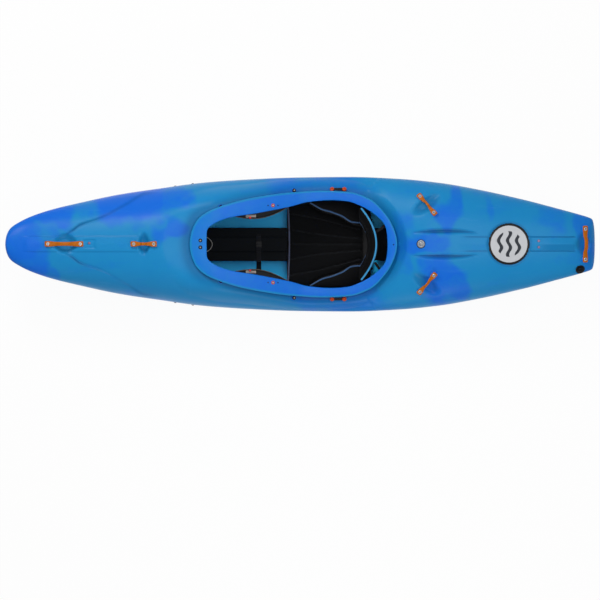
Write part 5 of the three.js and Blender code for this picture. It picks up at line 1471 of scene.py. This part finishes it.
def build_straps():
    """The strap over the front pillar, its buckle and the cord loop."""
    low, high = cad_box("pillar_strap")
    x = (low[0] + high[0]) / 2
    core, wide, platform, top = 33, 78, 92.3, 106.3
    floor = low[2] + 1.2
    route = [
        (x, high[1], platform + 1.4), (x, core + 6, platform + 1.4), (x, core + 1.8, platform + 4),
        (x, core + 1.5, top - 3),
        (x, core - 2, top + 1.4), (x, 0, top + 1.5), (x, 2 - core, top + 1.4), (x, -core - 1.5, top - 3),
        (x, -core - 1.8, platform + 4), (x, -core - 6, platform + 1.4), (x, 4 - wide, platform + 1.4),
        (x, -wide - 1.5, platform - 3), (x, -wide - 1.7, floor + 14), (x, -wide - 6, floor + 2),
        (x, low[1], floor + 0.4),
    ]
    strap = ribbon(rounded(route, 110), (1, 0, 0), 11, 2.2)
    add_form("pillar_webbing", strap, "webbing", replaces=["pillar_strap"], edge_angle=60)
    softened("strap_buckle", "black plastic", 0.8)
    arc = np.array([
        (-451.7, 36, 108.4), (-446, 35, 108.4), (-438, 32, 108.4), (-428, 25, 108.4), (-419, 15, 108.4),
        (-414, 4, 108.4), (-415, -8, 108.4), (-421, -19, 108.4), (-430, -28, 108.4), (-440, -34, 108.4),
        (-446, -36, 108.4), (-451.7, -37, 108.4),
    ])
    route = rounded(arc, 90)
    cord = add_form("pillar_cord_loop", tube(route, 2.0, 14), "grey cord", replaces=["pillar_cord"])


def build_rear_straps():
    """The webbing that holds the backband back to the underside of the deck."""
    for name, route in REAR_STRAPS.items():
        route = np.array(route, float)
        x, y, _z = route[-1]
        route[-1, 2] = float(FORM.deck(x, y)) - WALL - 8
        across = np.cross(route[-1] - route[0], [0, 0, 1])
        tilted = np.array([0.0, 0.0, 1.0]) * 0.75 + across / np.linalg.norm(across) * 0.66
        form = ribbon(rounded(route, 48), tilted, 9, 1.8)
        strap = bpy.data.objects.new(name, mesh_from(name, *form))
        bpy.context.scene.collection.objects.link(strap)
        strap.data.materials.append(finish_of("webbing")[1])
        strap.data.set_sharp_from_angle(angle=math.radians(60))
        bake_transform(strap)


# Finishes

def linear(red, green, blue):
    """Linear colour of a display colour given in 0 to 255."""
    values = [channel / 255 for channel in (red, green, blue)]
    return tuple(c / 12.92 if c <= 0.04045 else ((c + 0.055) / 1.055) ** 2.4 for c in values) + (1.0,)


def texture_tree(name, outputs, fill):
    """A shared shader tree of values or masks, from a place and a scale."""
    inputs = [("Vector", "Vector"), ("Scale", "Float")]
    return shared_tree(name, "ShaderNodeTree", inputs, [(output, "Float") for output in outputs], fill)


def moulded_grain():
    """Fine moulded texture and slow unevenness of a plastic skin: height and patchiness."""

    def fill(wire, entry):
        wide = wire.calc("MULTIPLY", entry["Scale"], 0.02)
        return {
            "Height": wire.noise(entry["Vector"], entry["Scale"], 3, 0.6),
            "Patch": wire.noise(entry["Vector"], wide, 2, 0.5),
        }

    return texture_tree("Moulded grain", ("Height", "Patch"), fill)


def woven_threads():
    """A plain weave: thread height, and which thread lies on top."""

    def fill(wire, entry):
        scaled = wire.add("ShaderNodeVectorMath", {0: entry["Vector"], "Scale": entry["Scale"]}, operation="SCALE")
        parts = wire.add("ShaderNodeSeparateXYZ", {0: scaled.outputs[0]}).outputs
        weft = wire.calc("SINE", wire.calc("ADD", parts[1], parts[2]))
        product = wire.calc("MULTIPLY", wire.calc("SINE", parts[0]), weft)
        return {"Height": wire.calc("ABSOLUTE", product), "Over": wire.ranged(product, -0.4, 0.4)}

    return texture_tree("Woven threads", ("Height", "Over"), fill)


def handling_wear():
    """Thin scuffs from use, as a mask."""

    def fill(wire, entry):
        stretch = wire.add("ShaderNodeMapping", {"Vector": entry["Vector"], "Scale": (0.12, 1.0, 1.0)})
        lines = wire.noise(stretch.outputs[0], entry["Scale"], 5, 0.7, 0.4)
        return {"Mask": wire.ranged(lines, 0.62, 0.72)}

    return texture_tree("Handling wear", ("Mask",), fill)


class Finish(Wiring):
    """A material being built round its Principled shader."""

    def __init__(self, name, colour, roughness, **sockets):
        self.material = bpy.data.materials.new(name)
        self.material.use_nodes = True
        self.material.diffuse_color = colour
        super().__init__(self.material.node_tree)
        self.shader = self.tree.nodes["Principled BSDF"].inputs
        for key, value in {"Base_Color": colour, "Roughness": roughness, **sockets}.items():
            self.shader[key.replace("_", " ")].default_value = value
        self.place = self.add("ShaderNodeTexCoord").outputs["Object"]

    def effect(self, tree, scale):
        """The outputs of a shared tree on this material."""
        return self.add("ShaderNodeGroup", {"Scale": scale, "Vector": self.place}, node_tree=tree).outputs

    def layer(self, name):
        """A value kept on the mesh's points."""
        return self.add("ShaderNodeAttribute", attribute_name=name).outputs["Fac"]

    def tint(self, factor, other, amount=1.0):
        """Mixes another colour into the base by a mask."""
        base = self.shader["Base Color"]
        before = base.links[0].from_socket if base.is_linked else tuple(base.default_value)
        inputs = {"Factor": self.calc("MULTIPLY", factor, amount), 6: before, 7: other}
        self.link(self.add("ShaderNodeMix", inputs, data_type="RGBA").outputs[2], base)

    def rough(self, factor, low, high):
        self.link(self.ranged(factor, to_low=low, to_high=high), self.shader["Roughness"])

    def bump(self, height, strength, distance):
        node = self.add("ShaderNodeBump", {"Strength": strength, "Distance": distance, "Height": height})
        self.link(node.outputs[0], self.shader["Normal"])


def shade(colour, amount):
    """A colour made lighter or darker."""
    return tuple(min(c * amount, 1.0) for c in colour[:3]) + (1.0,)


def plastic(name, colour, roughness, grain=900.0, depth=0.25, wear=0.12):
    """Moulded plastic with fine grain, slow patchiness and faint scuffs."""
    finish = Finish(name, colour, roughness, Specular_IOR_Level=0.14)
    grained = finish.effect(moulded_grain(), grain)
    finish.tint(grained["Patch"], shade(colour, 0.82), 0.5)
    finish.tint(finish.effect(handling_wear(), 60)["Mask"], shade(colour, 1.5), wear)
    finish.rough(grained["Patch"], roughness - 0.05, roughness + 0.09)
    finish.bump(grained["Height"], depth, 0.0004)
    return finish.material


def hull_plastic(name, scuffs, inner, crease):
    """The shell's plastic: turquoise swirled into blue, painted lighter on the inner skin to stand in for light, and
    painted darker in its creases as shade.
    """
    hull = bpy.context.scene.kayak_hull
    colour = tuple(hull.blue) + (1.0,)
    finish = Finish(name, colour, 0.34, Specular_IOR_Level=0.13)
    breakup = finish.calc("SUBTRACT", finish.noise(finish.place, 22.0, 5, 0.6, 0.8), 0.5)
    moved_share = finish.calc("MULTIPLY_ADD", breakup, 0.55, finish.layer("swirl"))
    finish.tint(finish.ranged(moved_share, 0.05, 0.95), tuple(hull.turquoise) + (1.0,))
    grained = finish.effect(moulded_grain(), 1100)
    finish.tint(grained["Patch"], shade(colour, 0.8), 0.16)
    finish.tint(finish.effect(handling_wear(), 26)["Mask"], scuffs, 0.1)
    # Painted light: the inner skin is made far lighter, standing in for light that hardly reaches inside the hull
    finish.tint(finish.layer("inside"), inner)
    # Painted shade: darker blue laid into the deck's creases, grooves, hollows and the rim's trough
    finish.tint(finish.layer("crease"), crease, 0.72)
    finish.rough(grained["Patch"], 0.3, 0.4)
    finish.bump(grained["Height"], 0.12, 0.0004)
    return finish.material


def metal(name, colour, roughness, stretch=(1.0, 30.0, 1.0)):
    """Brushed or cast metal."""
    finish = Finish(name, colour, roughness, Metallic=1.0)
    pull = finish.add("ShaderNodeMapping", {"Vector": finish.place, "Scale": stretch})
    lines = finish.noise(pull.outputs[0], 120.0, 4)
    finish.tint(lines, shade(colour, 0.7), 0.5)
    finish.rough(lines, roughness - 0.08, roughness + 0.12)
    finish.bump(lines, 0.15, 0.0002)
    return finish.material


def cloth(name, colour, scale, roughness=0.88, sheen=0.06):
    """Woven cloth with visible threads."""
    finish = Finish(name, colour, roughness, Sheen_Weight=sheen, Sheen_Roughness=0.5, Specular_IOR_Level=0.1)
    woven = finish.effect(woven_threads(), scale)
    finish.tint(woven["Over"], shade(colour, 0.6), 0.7)
    finish.tint(finish.effect(moulded_grain(), 400)["Patch"], shade(colour, 1.5), 0.35)
    finish.bump(woven["Height"], 0.5, 0.0006)
    return finish.material


def foam(name, colour, roughness):
    """Closed-cell foam: small cells and skived facets."""
    finish = Finish(name, colour, roughness, Specular_IOR_Level=0.1)
    cells = finish.add("ShaderNodeTexVoronoi", {"Vector": finish.place, "Scale": 520.0}).outputs["Distance"]
    grained = finish.effect(moulded_grain(), 300)
    finish.tint(grained["Patch"], shade(colour, 1.55), 0.4)
    finish.tint(cells, shade(colour, 0.6), 0.35)
    finish.rough(grained["Patch"], 0.8, 0.92)
    finish.bump(cells, 0.3, 0.0005)
    return finish.material


# The roundel's marks in metres: edges of its ring and of its banded field, and how its bands wave
ROUNDEL_RING = (0.0856, 0.0864)
ROUNDEL_FIELD = (0.0605, 0.0595)
ROUNDEL_WAVE = {"turns": 95.0, "sway": 0.007, "bands": 150.0, "edges": (0.3, 0.42)}


def printed_film(name, colour, roughness, worn, bands, ring):
    """White film with a dark ring near its edge and three plain wave bands."""
    finish = Finish(name, colour, roughness, Specular_IOR_Level=0.15)
    middle = (NUMBER_DISH["x"] * MM, 0, 0)
    shift = finish.add("ShaderNodeVectorMath", {0: finish.place, 1: middle}, operation="SUBTRACT")
    along, across, _ = finish.add("ShaderNodeSeparateXYZ", {0: shift.outputs[0]}).outputs
    flat = finish.add("ShaderNodeCombineXYZ", {0: along, 1: across}).outputs[0]
    radius = finish.add("ShaderNodeVectorMath", {0: flat}, operation="LENGTH").outputs["Value"]
    curl = finish.calc("SINE", finish.calc("MULTIPLY", across, ROUNDEL_WAVE["turns"]))
    bend = finish.calc("MULTIPLY_ADD", curl, ROUNDEL_WAVE["sway"], along)
    stripes = finish.calc("COSINE", finish.calc("MULTIPLY", bend, ROUNDEL_WAVE["bands"]))
    field = finish.ranged(radius, *ROUNDEL_FIELD)
    grained = finish.effect(moulded_grain(), 500)
    finish.tint(grained["Patch"], worn, 0.3)
    finish.tint(finish.calc("MULTIPLY", finish.ranged(stripes, *ROUNDEL_WAVE["edges"]), field), bands)
    finish.tint(finish.ranged(radius, *ROUNDEL_RING), ring)
    finish.bump(grained["Height"], 0.1, 0.0003)
    return finish.material


# Each finish: the slot that it fills, how it is made, its material's name, and its colours and other values
FINISHES = {
    # The shell's last three colours: scuffs, painted light for the inner skin, and painted shade for its creases
    "hull plastic": ("hull_plastic", hull_plastic, "Hull polyethylene", linear(90, 165, 230),
                     linear(26, 186, 246), linear(0, 66, 120)),
    "handle plastic": ("handle_orange", plastic, "Orange handle plastic", linear(186, 100, 8), 0.42, 700, 0.2, 0.1),
    "black plastic": ("black_plastic", plastic, "Black moulded plastic", linear(16, 17, 20), 0.44),
    "orange cap": ("cap_orange", plastic, "Orange red cap", linear(192, 72, 34), 0.42),
    "pale plastic": ("ratchet_grey", plastic, "Pale grey plastic", linear(172, 166, 160), 0.42),
    "lever plastic": ("ratchet_grey", plastic, "Ratchet lever plastic", linear(158, 146, 138), 0.4),
    "red tab": ("cap_orange", plastic, "Ratchet release red", linear(214, 40, 50), 0.4),
    "washer steel": ("bolt_steel", metal, "Stainless washers", linear(166, 168, 172), 0.32),
    "bolt steel": ("bolt_steel", metal, "Bolt heads", linear(120, 122, 126), 0.38),
    "bolt bronze": ("bolt_steel", metal, "Deck bolt heads", linear(112, 96, 122), 0.4),
    "badge silver": ("badge_silver", metal, "Badge silver", linear(124, 127, 134), 0.4, (0.6, 1.4, 1.0)),
    "aluminium": ("aluminium", metal, "Anodised aluminium", linear(176, 180, 184), 0.36, (0.1, 6.0, 6.0)),
    "seat cloth": ("seat_fabric", cloth, "Black woven nylon", linear(10, 11, 13), 3000.0),
    "backband cloth": ("seat_fabric", cloth, "Backband nylon", linear(6, 6, 7), 3000.0, 0.92, 0.0),
    "webbing": ("webbing", cloth, "Black webbing", linear(25, 26, 30), 1900.0, 0.8, 0.1),
    "blue piping": ("seat_fabric", cloth, "Blue grey piping", linear(64, 98, 142), 2400.0, 0.7, 0.2),
    "light piping": ("seat_fabric", cloth, "Light blue piping", linear(62, 158, 214), 2400.0, 0.7, 0.2),
    "grey piping": ("seat_fabric", cloth, "Grey piping", linear(92, 98, 124), 2400.0, 0.7, 0.2),
    "brown binding": ("webbing", cloth, "Grey brown binding", linear(84, 78, 72), 2400.0, 0.75, 0.2),
    "grey cord": ("cord_grey", cloth, "Grey braided cord", linear(150, 147, 140), 2600.0, 0.75, 0.15),
    "thread": ("seat_fabric", cloth, "Stitching thread", linear(60, 64, 70), 5000.0, 0.7, 0.1),
    "black foam": ("black_foam", foam, "Black closed cell foam", linear(15, 18, 21), 0.86),
    "roundel film": ("ratchet_grey", printed_film, "Roundel film", linear(204, 206, 210), 0.35,
                     linear(170, 172, 176), linear(40, 44, 52), linear(10, 11, 13)),
}


def finish_of(key):
    """A finish's slot, and its material, which is made at its first use."""
    slot, make, name, *values = FINISHES[key]
    return slot, bpy.data.materials.get(name) or make(name, *values)


# Stage

FLOOR_REACH = 14
SENSOR = 36
DECK_LEVEL = 0.3
# Lamps: place and size in metres, and share of the overhead lamp's set power
LAMPS = {
    "bow_key": ((-1.7, 2.6, 3.5), 1.5, 0.82),
    "overhead": ((0.9, 0.4, 4.6), 3.0, 0.66),
    "port_fill": ((0.5, -3.8, 2.0), 1.6, 0.32),
}


def build_stage(settings):
    """Floor, lights, world and the camera straight above the kayak."""
    scene = bpy.context.scene
    scene.view_settings.view_transform = "Standard"
    floor = bpy.data.meshes.new("studio_floor")
    corners = [(-1, -1), (1, -1), (1, 1), (-1, 1)]
    floor.from_pydata([(x * FLOOR_REACH, y * FLOOR_REACH, -MM) for x, y in corners], [], [(0, 1, 2, 3)])
    plane = bpy.data.objects.new("studio_floor", floor)
    scene.collection.objects.link(plane)
    floor.materials.append(floor_paint(settings))
    world = bpy.data.worlds.new("Studio")
    world.use_nodes = True
    background = world.node_tree.nodes["Background"]
    background.inputs["Color"].default_value = (1, 1, 1, 1)
    wire = Wiring(world.node_tree)
    wire.link(wire.ranged(seen_directly(wire), to_low=settings.sky), background.inputs["Strength"])
    scene.world = world
    for name, (place, size, share) in LAMPS.items():
        add_lamp(name, place, size, settings.lamp * share)
    camera = bpy.data.cameras.new("overhead_camera")
    holder = bpy.data.objects.new("overhead_camera", camera)
    scene.collection.objects.link(holder)
    camera.sensor_width = SENSOR
    camera.lens = SENSOR * (settings.camera_height - DECK_LEVEL) / settings.frame_width
    camera.clip_end = 100
    holder.location = (settings.camera_x, settings.camera_y, settings.camera_height)
    scene.camera = holder


def add_lamp(name, place, size, power):
    """A round soft lamp turned to the kayak's middle."""
    lamp = bpy.data.lights.new(name, "AREA")
    lamp.shape = "DISK"
    lamp.size = size
    lamp.energy = power
    holder = bpy.data.objects.new(name, lamp)
    bpy.context.scene.collection.objects.link(holder)
    holder.location = place
    holder.rotation_euler = (Vector((0, 0, 0.2)) - Vector(place)).to_track_quat("-Z", "Y").to_euler()


def seen_directly(wire):
    """1 for rays from the camera, or off metal or through glass, which show the white background; else 0."""
    path = wire.add("ShaderNodeLightPath").outputs
    through = wire.calc("MAXIMUM", path["Is Glossy Ray"], path["Is Transmission Ray"])
    return wire.calc("MAXIMUM", path["Is Camera Ray"], through)


def floor_paint(settings):
    """A white floor that keeps a soft shadow, and is pure white where the camera sees it lit."""
    material = bpy.data.materials.new("Studio floor")
    material.use_nodes = True
    wire = Wiring(material.node_tree)
    shader = wire.tree.nodes["Principled BSDF"]
    shader.inputs["Base Color"].default_value = (0.86, 0.86, 0.86, 1)
    shader.inputs["Roughness"].default_value = 0.9
    glow = wire.add("ShaderNodeEmission", {"Color": (1, 1, 1, 1), "Strength": 1.0})
    share = wire.calc("MULTIPLY", seen_directly(wire), settings.floor_glow)
    mix = wire.add("ShaderNodeMixShader", {"Fac": share, 1: shader.outputs[0], 2: glow.outputs[0]})
    wire.link(mix.outputs[0], wire.tree.nodes["Material Output"].inputs["Surface"])
    return material


# Add-on


class KayakHullSettings(bpy.types.PropertyGroup):
    swirl: FloatProperty(name="Swirl", description="How strongly the turquoise shows in the blue", default=1.0,
                         min=0, max=1, subtype="FACTOR")
    blue: FloatVectorProperty(name="Blue", description="Main colour of the shell", subtype="COLOR", size=3,
                              default=linear(16, 106, 218)[:3])
    turquoise: FloatVectorProperty(name="Turquoise", description="Second colour, swirled into the blue",
                                   subtype="COLOR", size=3, default=linear(26, 138, 196)[:3])


class KayakFittingSettings(bpy.types.PropertyGroup):
    handle_waist: FloatProperty(name="Handle waist",
                                description="Grip width of the handles, as a share of the real one",
                                default=1.0, min=0.7, max=1.4, subtype="FACTOR")
    bolt_size: FloatProperty(name="Bolt size", description="Size of bolt heads and washers, as a share of the real one",
                             default=1.0, min=0.6, max=1.3, subtype="FACTOR")


class KayakPaddingSettings(bpy.types.PropertyGroup):
    swell: FloatProperty(name="Padding swell", description="How full the cushions and pads are", default=1.0, min=0,
                         max=1.3, subtype="FACTOR")


class KayakStageSettings(bpy.types.PropertyGroup):
    lamp: FloatProperty(name="Overhead lamp", description="Power of the main soft lamp", default=95.0, min=0,
                        subtype="POWER", unit="POWER")
    sky: FloatProperty(name="Sky light", description="Strength of the even light from all round", default=0.34, min=0)
    floor_glow: FloatProperty(name="Floor glow",
                              description="How much of the floor's shadow is washed out for the camera",
                              default=0.95, min=0, max=1, subtype="FACTOR")
    camera_height: FloatProperty(name="Camera height", description="Height of the camera above the floor",
                                 default=40.0, min=2, subtype="DISTANCE", unit="LENGTH")
    camera_x: FloatProperty(name="Camera X", description="Camera place along the kayak", default=-0.0023,
                            subtype="DISTANCE", unit="LENGTH")
    camera_y: FloatProperty(name="Camera Y", description="Camera place across the kayak", default=-0.261,
                            subtype="DISTANCE", unit="LENGTH")
    frame_width: FloatProperty(name="Frame width", description="Width that the picture takes in at the deck",
                               default=2.801, min=0.5, subtype="DISTANCE", unit="LENGTH")


class KAYAK_OT_build_hull(bpy.types.Operator):
    """Build the moulded shell with its cockpit rim"""
    bl_idname = "kayak.build_hull"
    bl_label = "Moulded shell"

    def execute(self, context):
        build_hull(context.scene.kayak_hull)
        return {"FINISHED"}


class KAYAK_OT_build_handles(bpy.types.Operator):
    """Build the grab handles and their bolts"""
    bl_idname = "kayak.build_handles"
    bl_label = "Grab handles"

    def execute(self, context):
        build_handles(context.scene.kayak_fittings)
        return {"FINISHED"}


class KAYAK_OT_build_fittings(bpy.types.Operator):
    """Build the deck's bolts, caps, drain, badge and roundel"""
    bl_idname = "kayak.build_fittings"
    bl_label = "Deck fittings"

    def execute(self, context):
        build_fittings(context.scene.kayak_fittings)
        return {"FINISHED"}


class KAYAK_OT_build_seat(bpy.types.Operator):
    """Build the seat, its cushion and the hip pads"""
    bl_idname = "kayak.build_seat"
    bl_label = "Seat and hip pads"

    def execute(self, context):
        build_seat(context.scene.kayak_padding)
        return {"FINISHED"}


class KAYAK_OT_build_backband(bpy.types.Operator):
    """Build the padded backband"""
    bl_idname = "kayak.build_backband"
    bl_label = "Backband"

    def execute(self, context):
        build_backband(context.scene.kayak_padding)
        return {"FINISHED"}


class KAYAK_OT_build_outfitting(bpy.types.Operator):
    """Build the pillars, thigh braces, footrest, strap and cord"""
    bl_idname = "kayak.build_outfitting"
    bl_label = "Pillars, braces and straps"

    def execute(self, context):
        padding = context.scene.kayak_padding
        build_pillars()
        build_thigh_braces(padding)
        build_footrest()
        build_straps()
        build_rear_straps()
        return {"FINISHED"}


class KAYAK_OT_build_stage(bpy.types.Operator):
    """Set the floor, the lights and the camera"""
    bl_idname = "kayak.build_stage"
    bl_label = "Stage and camera"

    def execute(self, context):
        build_stage(context.scene.kayak_stage)
        return {"FINISHED"}


class KAYAK_PT_panel(bpy.types.Panel):
    bl_idname = "KAYAK_PT_panel"
    bl_label = "Kayak finish"
    bl_space_type = "VIEW_3D"
    bl_region_type = "UI"
    bl_category = "Kayak"

    def draw(self, context):
        layout = self.layout
        for title, settings in (("Shell", "kayak_hull"), ("Fittings", "kayak_fittings"), ("Padding", "kayak_padding"),
                                ("Stage", "kayak_stage")):
            box = layout.box()
            box.label(text=title)
            group_settings = getattr(context.scene, settings)
            for name in type(group_settings).__annotations__:
                box.prop(group_settings, name)
        for operator in OPERATORS:
            layout.operator(operator.bl_idname)


SETTINGS = {
    "kayak_hull": KayakHullSettings, "kayak_fittings": KayakFittingSettings, "kayak_padding": KayakPaddingSettings,
    "kayak_stage": KayakStageSettings,
}
OPERATORS = (
    KAYAK_OT_build_hull, KAYAK_OT_build_handles, KAYAK_OT_build_fittings, KAYAK_OT_build_seat,
    KAYAK_OT_build_backband, KAYAK_OT_build_outfitting, KAYAK_OT_build_stage,
)


def register():
    for kind in (*SETTINGS.values(), *OPERATORS, KAYAK_PT_panel):
        bpy.utils.register_class(kind)
    for name, kind in SETTINGS.items():
        setattr(bpy.types.Scene, name, PointerProperty(type=kind))


def unregister():
    for name in SETTINGS:
        delattr(bpy.types.Scene, name)
    for kind in (KAYAK_PT_panel, *reversed(OPERATORS), *SETTINGS.values()):
        bpy.utils.unregister_class(kind)


def main():
    register()
    bpy.ops.kayak.build_stage()
    bpy.ops.kayak.build_outfitting()
    bpy.ops.kayak.build_hull()
    bpy.ops.kayak.build_handles()
    bpy.ops.kayak.build_fittings()
    bpy.ops.kayak.build_seat()
    bpy.ops.kayak.build_backband()


if __name__ == "__main__":
    main()
